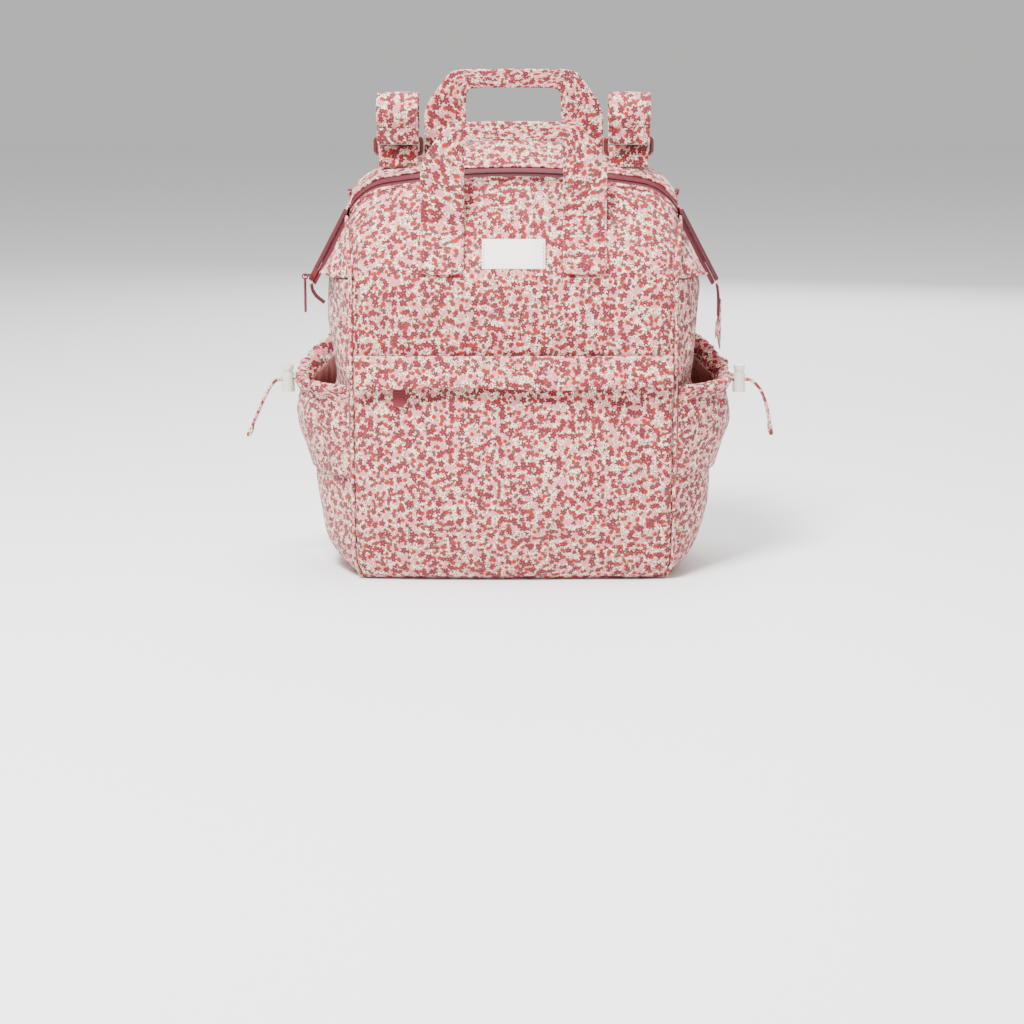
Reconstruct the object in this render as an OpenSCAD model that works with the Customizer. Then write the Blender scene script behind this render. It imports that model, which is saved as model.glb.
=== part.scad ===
// Nursery changing bag: a soft backpack with a wide zipped mouth, two carry handles,
// drawstring side pockets, a zipped front pocket and two straps for a pram handlebar.
// Millimetres. +Z is up, -Y is the front, and the origin is the middle of the base.

/* [Body] */
// Height of the bend line where the two mouth halves start
bend_z = 300; // [290:1:310]
// Half the distance between the two front corner seams
seam_x = 157; // [150:1:165]
// Thickness of the padded print fabric
cloth = 2.4; // [1.8:0.1:3]
// Thickness of plain lining cloth
lining_t = 0.8; // [0.6:0.1:1.2]

/* [Mouth] */
// Height of the middle of the closed zip
mouth_z = 400.5; // [396:0.5:405]
// Depth position of the closed zip
mouth_y = -26; // [-30:1:-22]
// Thickness of the zip tape
tape_t = 0.8; // [0.6:0.1:1]
// Width of one half of the zip tape
tape_w = 10; // [9:0.5:12]
// Diameter of the sprung wire in each mouth hem
wire_d = 3; // [2:0.5:4]

/* [Handles] */
// Width of the handle strap
handle_w = 43; // [36:1:46]
// Half the clear width between the handle's legs
handle_gap = 48; // [44:1:52]
// Height of the free loop of a handle
handle_h = 100; // [90:1:110]
// Thickness of the padded handle
handle_t = 6; // [4:0.5:7]

/* [Pram straps] */
// Radius of the handlebar that the strap wraps
bar_r = 18; // [15:0.5:20]
// Distance of each strap from the middle of the bag
strap_x = 115; // [114:1:120]
// Width of the pram strap
strap_w = 41; // [38:1:43]
// Thickness of the pram strap
strap_t = 3; // [2:0.25:3.5]

/* [Side pockets] */
// Height of the seam under the side pocket
pocket_z = 104; // [98:1:110]
// How far the pocket's mouth stands off the side
pocket_flare = 30; // [26:1:34]
// Radius of the drawstring tunnel
hem_r = 6; // [5:0.25:7]
// Radius of the drawcord
cord_r = 2.2; // [1.5:0.1:2.5]

/* [Hidden] */
$fn = 32;
gap = 0.4;
// Height, then half width over the side bulge
side_bulge = [[0, 163], [7, 172], [15, 179], [33, 189], [69, 198], [100, 200], [125, 196],
              [150, 197], [172, 190], [190, 179], [200, 178], [250, 177], [300, 180]];
// Height, then how far the corner seam draws in at the foot
seam_draw = [[0, 8], [10, 2], [25, 0], [300, 0]];
// Height, then half depth at the seams
half_depth = [[0, 70], [15, 78], [40, 83], [100, 88], [200, 87], [300, 82]];
// Height, then how full the front pocket is
pocket_fill = [[0, 0.3], [40, 0.9], [80, 1], [120, 0.9], [160, 0.35], [200, 0.2]];
wall_bow = 4;            // bow of the plain front and back walls
pocket_bow = 11;         // extra bow of the full front pocket
wall_rows = [3.2, 8, 16, 33, 66, 100, 128, 152, 172, 190, 205, 250, 298.4];
cols = [-1, -0.75, -0.5, -0.25, 0, 0.25, 0.5, 0.75, 1];

function body_a(z) = lookup(z, side_bulge);
function body_s(z) = seam_x - lookup(z, seam_draw);
function body_b(z) = lookup(z, half_depth);
function mix(a, b, t) = a + (b - a) * t;
function unit(v) = v / norm(v);
function front_pt(u, z) = [body_s(z) * u, -body_b(z) - wall_bow * (1 - u * u), z];
function back_pt(u, z) = [body_s(z) * u, body_b(z) + wall_bow * (1 - u * u), z];
function side_pt(s, v, z, out = 0) =
    [s * (body_s(z) + (body_a(z) - body_s(z)) * (1 - pow(abs(v), 2.2)) + out), body_b(z) * v, z];

// A closed solid from a grid of points: the outer skin, and the same grid t behind it
module sheet(g, t) {
    n = len(g);
    m = len(g[0]);
    back = [for (i = [0:n - 1]) for (j = [0:m - 1])
        let (du = g[min(i + 1, n - 1)][j] - g[max(i - 1, 0)][j],
             dv = g[i][min(j + 1, m - 1)] - g[i][max(j - 1, 0)])
        g[i][j] - unit(cross(du, dv)) * t];
    k = n * m;
    skin = [for (i = [0:n - 2]) for (j = [0:m - 2]) for (f = [
        [i * m + j, i * m + j + 1, (i + 1) * m + j + 1],
        [i * m + j, (i + 1) * m + j + 1, (i + 1) * m + j]]) f];
    liner = [for (f = skin) [f[2] + k, f[1] + k, f[0] + k]];
    rim = concat(
        [for (j = [0:m - 1]) j],
        [for (i = [1:n - 1]) i * m + m - 1],
        [for (j = [m - 2:-1:0]) (n - 1) * m + j],
        [for (i = [n - 2:-1:1]) i * m]);
    c = len(rim);
    edge = [for (q = [0:c - 1]) let (a = rim[q], b = rim[(q + 1) % c])
        for (f = [[b, a, a + k], [b, a + k, b + k]]) f];
    polyhedron(points = concat([for (r = g) for (p = r) p], back), faces = concat(skin, liner, edge));
}

// A closed band: rows of points that go all the way round
module band(g, h) {
    n = len(g);
    m = len(g[0]);
    k = n * m;
    pts = concat([for (r = g) for (p = r) p], [for (r = h) for (p = r) p]);
    outer = [for (i = [0:n - 2]) for (j = [0:m - 1]) let (e = (j + 1) % m) for (f = [
        [i * m + j, (i + 1) * m + e, i * m + e],
        [i * m + j, (i + 1) * m + j, (i + 1) * m + e]]) f];
    inner = [for (f = outer) [f[2] + k, f[1] + k, f[0] + k]];
    ends = [for (j = [0:m - 1]) let (e = (j + 1) % m, r = (n - 1) * m) for (f = [
        [j, e, e + k], [j, e + k, j + k],
        [r + e, r + j, r + j + k], [r + e, r + j + k, r + e + k]]) f];
    polyhedron(points = pts, faces = concat(outer, inner, ends));
}

// Frames along a path, with the width direction held near the vector w
function along(p, i) = unit(p[min(i + 1, len(p) - 1)] - p[max(i - 1, 0)]);
function across(p, i, w) = unit(w - along(p, i) * (w * along(p, i)));
function ring_at(p, i, w, loop) = let (a = across(p, i, w), b = cross(along(p, i), a))
    [for (q = loop) p[i] + a * q[0] + b * q[1]];
function round_loop(r1, r2, n) = [for (k = [0:n - 1]) [r1 * cos(360 * k / n), r2 * sin(360 * k / n)]];
function flat_loop(w, t) = [[w / 2, -t / 2], [w / 2, t / 2], [-w / 2, t / 2], [-w / 2, -t / 2]];

// A solid swept along a path: loop is its cross-section, w its width direction
module sweep(p, loop, w) {
    n = len(p);
    m = len(loop);
    skin = [for (i = [0:n - 2]) for (j = [0:m - 1]) let (e = (j + 1) % m) for (f = [
        [i * m + j, (i + 1) * m + e, i * m + e],
        [i * m + j, (i + 1) * m + j, (i + 1) * m + e]]) f];
    caps = [for (j = [1:m - 2]) for (f = [[0, j, j + 1], [(n - 1) * m, (n - 1) * m + j + 1, (n - 1) * m + j]]) f];
    polyhedron(points = [for (i = [0:n - 1]) for (q = ring_at(p, i, w, loop)) q], faces = concat(skin, caps));
}

// ---- The arch that the closed zip follows, as height over half width ----
crown_r = 800;           // radius of the nearly straight top
corner_x = 126;          // where the corner starts
corner_r = 52.4;          // radius of the corner
slope = 62;              // fall of the sides, in degrees
corner_z = mouth_z - corner_x * corner_x / (2 * crown_r);
lead = asin(corner_x / crown_r);
slope_x = corner_x + corner_r * (sin(slope) - sin(lead));
slope_z = corner_z - corner_r * (cos(lead) - cos(slope));
function arch_z(x) = let (a = abs(x))
    a <= corner_x ? mouth_z - a * a / (2 * crown_r) :
    a <= slope_x ? corner_z - corner_r * (cos(lead) - cos(asin(sin(lead) + (a - corner_x) / corner_r))) :
    slope_z - (a - slope_x) * tan(slope);

tilt = 30;               // the tape leans this far towards the front
fall = tape_w * sin(tilt);
reach = tape_w * cos(tilt);
half_top = 163;          // half width of the moving mouth halves at the top
mouth_cols = [-1, -0.93, -0.82, -0.65, -0.4, -0.15, 0.15, 0.4, 0.65, 0.82, 0.93, 1];
hinge_y = body_b(bend_z) + wall_bow;

// Front mouth half: u across, w from the bend line up to the tape
function mouth_pt(u, w) = let (
    x = mix(seam_x, half_top, w) * u,
    low = [x, -body_b(bend_z) - wall_bow * (1 - u * u), bend_z + 0.6],
    top = [x, mouth_y - reach - 0.8, arch_z(half_top * u) - fall - 0.8])
    mix(low, top, w) - [0, 5 * sin(180 * w), 0];

// Rear mouth half: up the back, over the ridge, down to the tape
function ridge_rise(x) = 16 + 14.5 * max(0, 1 - pow(x / 110, 2));
rear_lean = [[0, 0], [0.25, 9], [0.5, 24], [0.75, 44], [1, 64]];
function rear_pt(u, w) = let (
    x = mix(seam_x, half_top, min(w, 1)) * u,
    ridge = arch_z(half_top * u) + ridge_rise(half_top * u),
    back = body_b(bend_z) + wall_bow * (1 - u * u),
    tape_z = arch_z(half_top * u) + fall + 0.6)
    w <= 1 ? [x, back - lookup(w, rear_lean), mix(bend_z + 0.6, ridge, w)] :
    [x, mix(back - 64, mouth_y + reach + 0.8, w - 1), mix(ridge, tape_z, pow(w - 1, 1.6))];

// ---- Base and walls ----
function contour(z, d) = let (v = [-0.9, -0.7, -0.45, -0.15, 0.15, 0.45, 0.7, 0.9], u = [-1, -0.5, 0, 0.5, 1])
    [for (p = concat([for (k = u) front_pt(k, z)], [for (k = v) side_pt(1, k, z)],
        [for (k = [4:-1:0]) back_pt(u[k], z)], [for (k = [7:-1:0]) side_pt(-1, v[k], z)]))
        [p[0] * (1 - d / 150), p[1] * (1 - d / 80), z]];
function flat2(p) = [for (q = p) [q[0], q[1]]];

module base_panel() color("#c99a9b") linear_extrude(2.8) polygon(flat2(contour(0, 2)));
module base_board() color("#8f8a86") translate([0, 0, 3.4]) linear_extrude(2) polygon(flat2(contour(0, 14)));
module front_wall() color("#cf9fa0") sheet([for (z = wall_rows) [for (u = [8:-1:0]) front_pt(cols[u], z)]], cloth);
module back_panel() color("#cf9fa0") sheet([for (z = wall_rows) [for (u = cols) back_pt(u, z)]], cloth);
side_cols = [-0.95, -0.75, -0.5, -0.2, 0.2, 0.5, 0.75, 0.95];
module gusset(s) color("#cf9fa0") sheet([for (z = wall_rows)
    [for (k = [0:7]) side_pt(s, (s > 0 ? -1 : 1) * side_cols[k], z)]], cloth);
lining_rows = [6.8, 16, 33, 66, 100, 128, 152, 172, 190, 205, 250, 294];
module main_lining() color("#b98384") {
    band([for (z = lining_rows) contour(z, 6)], [for (z = lining_rows) contour(z, 6 + lining_t)]);
    translate([0, 0, 5.6]) linear_extrude(0.8) polygon(flat2(contour(6, 8)));
}
module inner_pocket() color("#b98384") translate([-110, 66, 60]) {
    cube([220, 1, 138]);
    translate([0, -1, 138 + gap]) cube([220, 3, 8]);
}

// ---- Folded tops of the side gussets, between the two mouth halves ----
fold_v = [-0.86, -0.6, -0.3, 0, 0.3, 0.6, 0.86];
function fold_row(s, r, k) = let (v = (s > 0 ? -1 : 1) * fold_v[k])
    r == 0 ? side_pt(s, v, bend_z - 0.6) - [s * 3, 0, 0] :
    r == 1 ? [s * 143, 76 * v, 304] :
    r == 2 ? [s * 141, mix(-9, 60 * v, 0.8), 345] :
    [s * 141, -14 + 16 * v, 374];
module gusset_folds() color("#bb8788") for (s = [-1, 1])
    sheet([for (r = [0:3]) [for (k = [0:6]) fold_row(s, r, k)]], 1.2);

// ---- Mouth ears: the print between the corner seams and the sloping zip ends ----
ear_tip = 188;
function ear_x(p, w) = mix(mix(seam_x, half_top, min(w, 1)) + 1.6, ear_tip, p);
function front_ear(s, p, w) = let (
    x = ear_x(p, w),
    low = [s * x, mix(-body_b(bend_z) + 1, mouth_y - 24, pow(p, 0.7)), bend_z + 3 + 3 * p],
    top = [s * (x - 2), mouth_y - reach - 1.5, arch_z(x) - fall - 2])
    mix(low, top, w) - [0, 3 * sin(180 * w), 0];
function rear_ear(s, p, w) = let (
    x = ear_x(p, w), ridge = arch_z(x) + 13 * (1 - p),
    low_y = mix(body_b(bend_z) - 1, mouth_y + 24, pow(p, 0.8)))
    w <= 1 ? [s * x, mix(low_y, mouth_y + 38 - 20 * p, w), mix(bend_z + 3 + 3 * p, ridge, w)] :
    [s * (x + w - 1), mix(mouth_y + 38 - 20 * p, mouth_y + reach + 1.5, w - 1), mix(ridge, arch_z(x) + 2, w - 1)];
function flip(s, row) = s > 0 ? row : [for (k = [len(row) - 1:-1:0]) row[k]];
ear_p = [0, 0.35, 0.7, 1];
module mouth_ear(s) color("#cf9fa0") {
    sheet([for (w = [0, 0.5, 1]) flip(s, [for (p = ear_p) front_ear(s, p, w)])], 2);
    sheet([for (w = [0, 0.5, 1, 1.5, 2]) flip(-s, [for (p = ear_p) rear_ear(s, p, w)])], 2);
}

// ---- Zip ----
tape_cols = [for (k = [-12:12]) k / 12 * (half_top - 0.5)];
module front_zip_tape() color("#8c3f52") sheet([for (q = [0, 1]) [for (x = tape_cols)
    [x, mix(mouth_y - reach, mouth_y - 0.8, q), arch_z(x) - fall * (1 - q) + tape_t / 2]]], tape_t);
module rear_zip_tape() color("#8c3f52") sheet([for (q = [0, 1]) [for (x = tape_cols)
    [x, mix(mouth_y + 0.8, mouth_y + reach, q), arch_z(x) + fall * q + tape_t / 2]]], tape_t);

slope_len = 80;
// Frame of a sloping zip end: x runs down the slope, z is the tape's outer face
module on_slope(s) mirror([s < 0 ? 1 : 0, 0, 0])
    translate([half_top + 1, mouth_y, arch_z(half_top + 1)]) rotate([0, slope, 0]) rotate([tilt, 0, 0]) children();
module zip_slopes() color("#8c3f52") for (s = [-1, 1]) on_slope(s) for (side = [-1, 1])
    translate([side > 0 ? 0 : 7, side > 0 ? 0.8 : -tape_w, -tape_t / 2])
        cube([slope_len - (side > 0 ? 0 : 7), tape_w - 0.8, tape_t]);
slope_dir = [cos(slope), 0, -sin(slope)];
slope_end = [half_top + 1, mouth_y, arch_z(half_top + 1)] + slope_dir * slope_len;

slider_at = 72;          // where the closed slider stands down the slope
slider_l = 13;
bail = [-(half_top + 1 + slope_dir[0] * (slider_at + 4)) - 8.6, mouth_y, arch_z(half_top + 1) + slope_dir[2] * (slider_at + 4) + 3.4];
module slider_body(l) {
    for (z = [0.7, -1.9]) translate([-l / 2, -4.5, z]) cube([l, 9, 1.2]);
    translate([-l / 2 + 1, -0.5, -1]) cube([5, 1, 2]);
}
module zip_slider() color("#8c3f52") {
    on_slope(-1) translate([slider_at, 0, 0]) slider_body(slider_l);
    // Bail: two ears and the bar that the ring hangs on
    for (y = [-3.4, 2.4]) translate([bail[0] - 1, mouth_y + y, bail[2] - 1]) cube([7.7, 1, 2]);
    translate([bail[0], mouth_y - 3.4, bail[2]]) rotate([-90, 0, 0]) cylinder(r = 0.7, h = 6.8);
}
ring_r = 2.7;
module zip_puller_ring() color("#8c3f52") translate(bail - [0, 0, 1.2]) rotate([90, 0, 0])
    rotate_extrude() translate([ring_r, 0]) circle(r = 0.6);
module puller(w, l, t) {
    // Tab with round ends and an eye at its top
    difference() {
        rotate([90, 0, 0]) translate([0, 0, -t / 2]) linear_extrude(t) difference() {
            union() {
                translate([-w / 2, -l + w / 2]) square([w, l - w]);
                translate([0, -l + w / 2]) circle(r = w / 2);
                translate([0, -w / 2]) circle(r = w / 2);
            }
            translate([0, -2.6]) circle(r = 1.5);
        }
    }
}
// Its plane holds Y, so the ring passes through it
module zip_puller_tab() color("#a04a5c") translate(bail - [0, 0, 1.2 + ring_r - 2.6]) rotate([0, 0, 90])
    puller(10, 36, 2.4);

// Each as distance from the middle, then drop below the slope's end
function tail_path(s) = s > 0 ? [[203, 2.2], [204.4, 11.7], [204.8, 21.7], [204.8, 33.7]] :
    [[-202, 2.2], [-200.6, 8.7], [-196.5, 14.7], [-189, 20.7]];
function tail_pts(s) = [for (p = tail_path(s)) [p[0], mouth_y, slope_end[2] - p[1]]];
module zip_tail(s) color("#8c3f52") sweep(tail_pts(s), flat_loop(18, 2), [0, 1, 0]);
module zip_end_tab() color("#cf9fa0") sweep([for (p = [[204.8, 34.3], [205.2, 45.7], [205, 57.7]])
    [p[0], mouth_y, slope_end[2] - p[1]]], flat_loop(16, 5), [0, 1, 0]);

// ---- Mouth halves ----
module front_mouth_panel() color("#cf9fa0")
    sheet([for (w = [0, 0.25, 0.5, 0.75, 1]) [for (k = [11:-1:0]) mouth_pt(mouth_cols[k], w)]], cloth);
module rear_mouth_panel() color("#cf9fa0")
    sheet([for (w = [0, 0.25, 0.5, 0.75, 1, 1.3, 1.65, 2]) [for (u = mouth_cols) rear_pt(u, w)]], cloth);
wire_uw = [[0.94, 0.1], [0.94, 0.4], [0.93, 0.62], [0.88, 0.78], [0.78, 0.86], [0.55, 0.89], [0.25, 0.9]];
function mirrored(l) = concat([for (q = l) [-q[0], q[1]]], [for (k = [len(l) - 1:-1:0]) l[k]]);
module front_frame_wire() color("silver") sweep([for (q = mirrored(wire_uw)) mouth_pt(q[0], q[1]) + [0, 6, -1]],
    round_loop(wire_d / 2, wire_d / 2, 8), [0, 1, 0]);
module rear_frame_wire() color("silver") sweep([for (q = mirrored(wire_uw)) rear_pt(q[0], q[1]) - [0, 6, 1]],
    round_loop(wire_d / 2, wire_d / 2, 8), [0, 1, 0]);

// ---- Handles ----
front_hinge = [-68.6, 352];       // depth and height of the free loop's foot
rear_hinge = [47.7, 400];
module handle_loop() rotate([90, 0, 0]) translate([0, 0, -handle_t / 2]) linear_extrude(handle_t) difference() {
    polygon([[-handle_gap - handle_w, 0], [-handle_gap - handle_w, 59], [-64, handle_h],
             [64, handle_h], [handle_gap + handle_w, 59], [handle_gap + handle_w, 0]]);
    translate([-handle_gap, -1]) square([2 * handle_gap, handle_h - 19 + 1]);
}
module front_handle() color("#cf9fa0") translate([0, front_hinge[0] + handle_t / 2, front_hinge[1] + gap]) handle_loop();
module rear_handle() color("#cf9fa0") translate([0, rear_hinge[0] - handle_t / 2, rear_hinge[1] + gap]) handle_loop();
module tab_pair(low, high, turn) for (s = [-1, 1]) sheet([for (p = [low, high])
    [for (k = [turn, -turn]) [s * (handle_gap + handle_w / 2) + k * handle_w / 2, p[0], p[1]]]], 4);
module front_handle_tabs() color("#cf9fa0") tab_pair([-88.8, 308], [-68.8, 352], 1);
module rear_handle_tabs() color("#cf9fa0") tab_pair([71, 357], [45.2, 400], -1);
module label() color("#efe6da") sheet([for (p = [[-83.9, 312], [-71.9, 340]]) [for (x = [31, -31]) [x, p[0], p[1]]]], 0.8);

// ---- Pram straps: an anchor on the rear mouth half, a ring, and the strap round the bar ----
ring_w = 41.5;                  // inner width
ring_bar = 2.2;                 // radius of the ring's wire
ring_low = [4, 418];            // depth and height of the lower bar
ring_high = [4, 433.5];         // and of the upper bar
bar_c = [0, 458];               // handlebar's axis
module ring_frame(s) color("#7a1f30") {
    w = ring_w / 2 + ring_bar;
    r = 3.2;
    for (z = [ring_low[1], ring_high[1]]) translate([s * strap_x - w + r, ring_low[0], z]) rotate([0, 90, 0])
        cylinder(r = ring_bar, h = 2 * (w - r));
    for (x = [-w, w]) translate([s * strap_x + x, ring_low[0], ring_low[1] + r])
        cylinder(r = ring_bar, h = ring_high[1] - ring_low[1] - 2 * r);
    for (x = [-1, 1]) for (z = [0, 1]) translate([s * strap_x + x * (w - r), ring_low[0],
        z ? ring_high[1] - r : ring_low[1] + r]) rotate([90, 0, 0])
        rotate([0, 0, x > 0 ? (z ? 0 : -90) : (z ? 90 : 180)]) rotate_extrude(angle = 90) translate([r, 0]) circle(r = ring_bar);
}
module loop_profile(c, r, t) { translate(c) difference() { circle(r = r + t); circle(r = r); } }
module extrude_x(x, w) translate([x - w / 2, 0, 0]) rotate([90, 0, 90]) linear_extrude(w) children();
// Height of the rear mouth half's lid just under the anchors
function lid_z(x) = let (
    u = x / half_top, run = body_b(bend_z) + wall_bow * (1 - u * u) - 64,
    t = (run - 1) / (run - mouth_y - reach - 0.8))
    mix(arch_z(x) + ridge_rise(x), arch_z(x) + fall + 0.6, pow(t, 1.6));
module strap_anchors() color("#cf9fa0") for (s = [-1, 1]) {
    extrude_x(s * strap_x, strap_w - 2) loop_profile(ring_low, 2.6, 1.6);
    // The leg that is sewn down, cut along the lid's curve
    sheet([for (q = [0, 1]) [for (k = [-1, -0.5, 0, 0.5, 1]) let (x = s * strap_x - k * (strap_w - 2) / 2)
        [x, ring_low[0] - 4.2, q == 0 ? lid_z(x) + 1 : ring_low[1]]]], 1.6);
}
module stroller_strap(s) color("#cf9fa0") extrude_x(s * strap_x, strap_w) {
    // Wrap round the bar, open underneath, then the loop round the ring and the front tail
    difference() {
        translate(bar_c) circle(r = bar_r + strap_t);
        translate(bar_c) circle(r = bar_r);
        translate([bar_c[0] - 14, bar_c[1] - bar_r - 8]) square([19, 12]);
    }
    difference() {
        translate(ring_high) circle(r = 2.6 + 1.8);
        translate(ring_high) circle(r = 2.6);
    }
    polygon([[6.8, 436], [5.4, 440.6], [9.4, 439.9], [8.6, 434]]);
    polygon([[-13.2, 445], [-17.2, 448], [-11.5, 427], [-8.6, 428]]);
}

// ---- Front pocket ----
function pouch_pt(u, z) = front_pt(u, z) - [0, 3 + (pocket_bow * lookup(z, pocket_fill) - wall_bow * 0.5) * (1 - u * u), 0];
module front_pocket_panel() color("#cf9fa0") sheet([for (z = [3.6, 12, 24, 40, 60, 85, 120, 150, 175, 203])
    [for (u = [8:-1:0]) pouch_pt(cols[u] * 0.995, z)]], 2);
pz = 212;                       // height of the pocket zip
py = -94.5;                     // depth of its tape
pocket_tape = 274;
module pocket_zip_tapes() color("#8c3f52") for (z = [pz - 0.8 - 7, pz + 0.8])
    translate([-pocket_tape / 2, py - tape_t / 2, z]) cube([pocket_tape, tape_t, 7]);
flap_shape = [[-93.6, 228], [-98, 226], [-101.5, 219], [-103, 209], [-103.6, 198]];
function flap_y(u, y) = mix(y, y + 3, u * u);
module pocket_flap() color("#cf9fa0") sheet([for (k = [4:-1:0])
    [for (u = [8:-1:0]) [cols[u] * (seam_x - 1), flap_y(cols[u], flap_shape[k][0]), flap_shape[k][1]]]], 2);
pocket_slider_x = -112;
module pocket_slider() color("#8c3f52") translate([pocket_slider_x, py, pz]) rotate([90, 0, 0]) {
    slider_body(11);
    translate([0, -2.6, 1.9]) cylinder(r = 1.1, h = 1.9);
}
module pocket_puller() color("#a04a5c") translate([pocket_slider_x, py - 3.1, pz]) puller(12, 34, 1.8);

// ---- Side pockets ----
function rim_z(v) = 192 + 44 * pow(max(0, v), 1.5);
function pocket_pt(s, v, w, top) = let (z = mix(pocket_z, rim_z(v) - top, w))
    side_pt(s, v, z, 3.4 + pocket_flare * pow(w, 0.75) * (1 - pow(abs(v), 2.5)));
pocket_v = [-0.95, -0.85, -0.65, -0.4, -0.1, 0.2, 0.5, 0.75, 0.95];
module side_pocket(s) color("#cf9fa0") sheet([for (w = [0, 0.12, 0.3, 0.5, 0.75, 1])
    [for (k = [0:8]) pocket_pt(s, (s > 0 ? -1 : 1) * (s > 0 ? -pocket_v[k] : -pocket_v[8 - k]) * (s > 0 ? 1 : -1), w, 7.5)]], 2);
rim_v = [-0.96, -0.88, -0.74, -0.55, -0.33, -0.11, 0.11, 0.33, 0.55, 0.74, 0.88, 0.96];
function rim_path(s) = [for (v = rim_v) pocket_pt(s, v, 1, 0) + [s * 4, 0, 0]];
function rings(p, r) = [for (i = [0:len(p) - 1]) ring_at(p, i, [0, 0, 1], round_loop(r, r, 8))];
module pocket_hem(s) color("#cf9fa0") band(rings(rim_path(s), hem_r), rings(rim_path(s), hem_r - 2.4));
module pocket_cords() color("#efe6da") for (s = [-1, 1]) sweep(rim_path(s), round_loop(cord_r, cord_r, 8), [0, 0, 1]);

// ---- Cord locks and tails ----
lock_x = 228.8;
lock_y = -8;
lock_z = 192;
lock_r = 6.5;
module at_lock(s) translate([s * lock_x, lock_y, lock_z]) children();
module lock_body(s) color("#f1ece6") at_lock(s) difference() {
    translate([0, 0, -12]) cylinder(r = lock_r, h = 19);
    translate([0, 0, -9.5]) cylinder(r = 4.9, h = 20);
    rotate([0, 90, 0]) translate([0, 0, -10]) cylinder(r = 4.4, h = 20);
}
module lock_button(s) color("#f1ece6") at_lock(s) difference() {
    union() {
        translate([0, 0, -4]) cylinder(r = 4.6, h = 19);
        translate([0, 0, 10.5]) cylinder(r = 5.6, h = 4.5);
    }
    translate([-8, -4, -2.1]) cube([16, 8, 7]);
}
module lock_spring(s) color("silver") at_lock(s) translate([0, 0, -9.4]) difference() {
    cylinder(r = 3.2, h = 5.3);
    translate([0, 0, -1]) cylinder(r = 2.2, h = 8);
}
function tail_route(s) = s < 0 ?
    [[-222, 192], [-231, 192], [-239.8, 191.8], [-246, 186], [-252, 176], [-258, 163], [-263, 152], [-266.5, 143.5]] :
    [[222, 192], [231, 192], [239.8, 191.8], [246, 187.5], [252, 179.5], [256.5, 168], [259.5, 156], [261, 146]];
tail_w = 7.2;
tail_t = 3.8;
function tail3(s) = [for (p = tail_route(s)) [p[0], lock_y, p[1]]];
module cord_tail(s) color("#cf9fa0") sweep(tail3(s), round_loop(tail_w / 2, tail_t / 2, 8), [0, 1, 0]);
module cord_ends() color("#bb8788") for (s = [-1, 1]) {
    e = tail3(s)[7];
    d = unit(e - tail3(s)[6]);
    sweep([e + d * 0.2, e + d * 11], flat_loop(9.6, 5), [0, 1, 0]);
}

// ---- Shoulder straps on the back ----
function back_y(z) = body_b(z) + wall_bow;
pad_route = [[44, 97, 288], [48, 103, 268], [56, 109, 240], [64, 111, 205], [70, 108, 172], [75, 103, 146]];
web_top = [77, 100, 140];
web_foot = [120, 91, 44];
web_dir = unit(web_foot - web_top);
function sided(s, l) = [for (p = l) [s * p[0], p[1], p[2]]];
module shoulder_pad(s) color("#cf9fa0") sweep(sided(s, pad_route), flat_loop(56, 9), [1, 0, 0]);
module webbing() color("#efe6da") for (s = [-1, 1]) {
    sweep(sided(s, [web_top + [0, -4.2, -2], web_top + web_dir * 45 + [0, -4.2, 0], web_foot]),
        flat_loop(25, 1.4), [1, 0, 0]);
    sweep(sided(s, [web_top + [0, 4.6, -2], web_top + web_dir * 70 + [0, 4.6, 0]]), flat_loop(25, 1.4), [1, 0, 0]);
}
module strap_tabs() color("#cf9fa0") for (s = [-1, 1])
    sweep(sided(s, [web_foot + web_dir * 0.8 + [0, 0.5, 0], web_foot + web_dir * 16 + [0, -2.5, 0]]), flat_loop(30, 4), [1, 0, 0]);
module adjuster(s) color("#8c3f52") mirror([s < 0 ? 1 : 0, 0, 0]) translate(web_top + web_dir * 12 + [0, 0.5, 0])
    rotate([90, 0, 0]) rotate([0, 0, atan2(web_dir[0], -web_dir[2])]) translate([0, 0, -2]) linear_extrude(4) difference() {
        square([33, 24], center = true);
        for (y = [-7, 5]) translate([0, y]) square([26, 5], center = true);
    }

base_panel();
base_board();
front_wall();
back_panel();
gusset(-1);  // gusset_left
gusset(1);  // gusset_right
gusset_folds();
mouth_ear(-1);  // mouth_ear_left
mouth_ear(1);  // mouth_ear_right
zip_slopes();
zip_tail(-1);  // zip_tail_left
zip_tail(1);  // zip_tail_right
zip_end_tab();
main_lining();
inner_pocket();
front_pocket_panel();
pocket_flap();
pocket_zip_tapes();
pocket_slider();
pocket_puller();
side_pocket(-1);  // side_pocket_left
side_pocket(1);  // side_pocket_right
pocket_hem(-1);  // pocket_hem_left
pocket_hem(1);  // pocket_hem_right
pocket_cords();
lock_body(-1);  // lock_body_left
lock_body(1);  // lock_body_right
lock_button(-1);  // lock_button_left
lock_button(1);  // lock_button_right
lock_spring(-1);  // lock_spring_left
lock_spring(1);  // lock_spring_right
cord_tail(-1);  // cord_tail_left
cord_tail(1);  // cord_tail_right
cord_ends();
shoulder_pad(-1);  // shoulder_pad_left
shoulder_pad(1);  // shoulder_pad_right
webbing();
strap_tabs();
adjuster(-1);  // adjuster_left
adjuster(1);  // adjuster_right
zip_slider();
zip_puller_ring();
zip_puller_tab();
front_mouth_panel();
front_frame_wire();
front_zip_tape();
front_handle_tabs();
label();
rear_mouth_panel();
rear_frame_wire();
rear_zip_tape();
rear_handle_tabs();
strap_anchors();
front_handle();
rear_handle();
ring_frame(-1);  // ring_left
ring_frame(1);  // ring_right
stroller_strap(-1);  // stroller_strap_left
stroller_strap(1);  // stroller_strap_right
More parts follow.
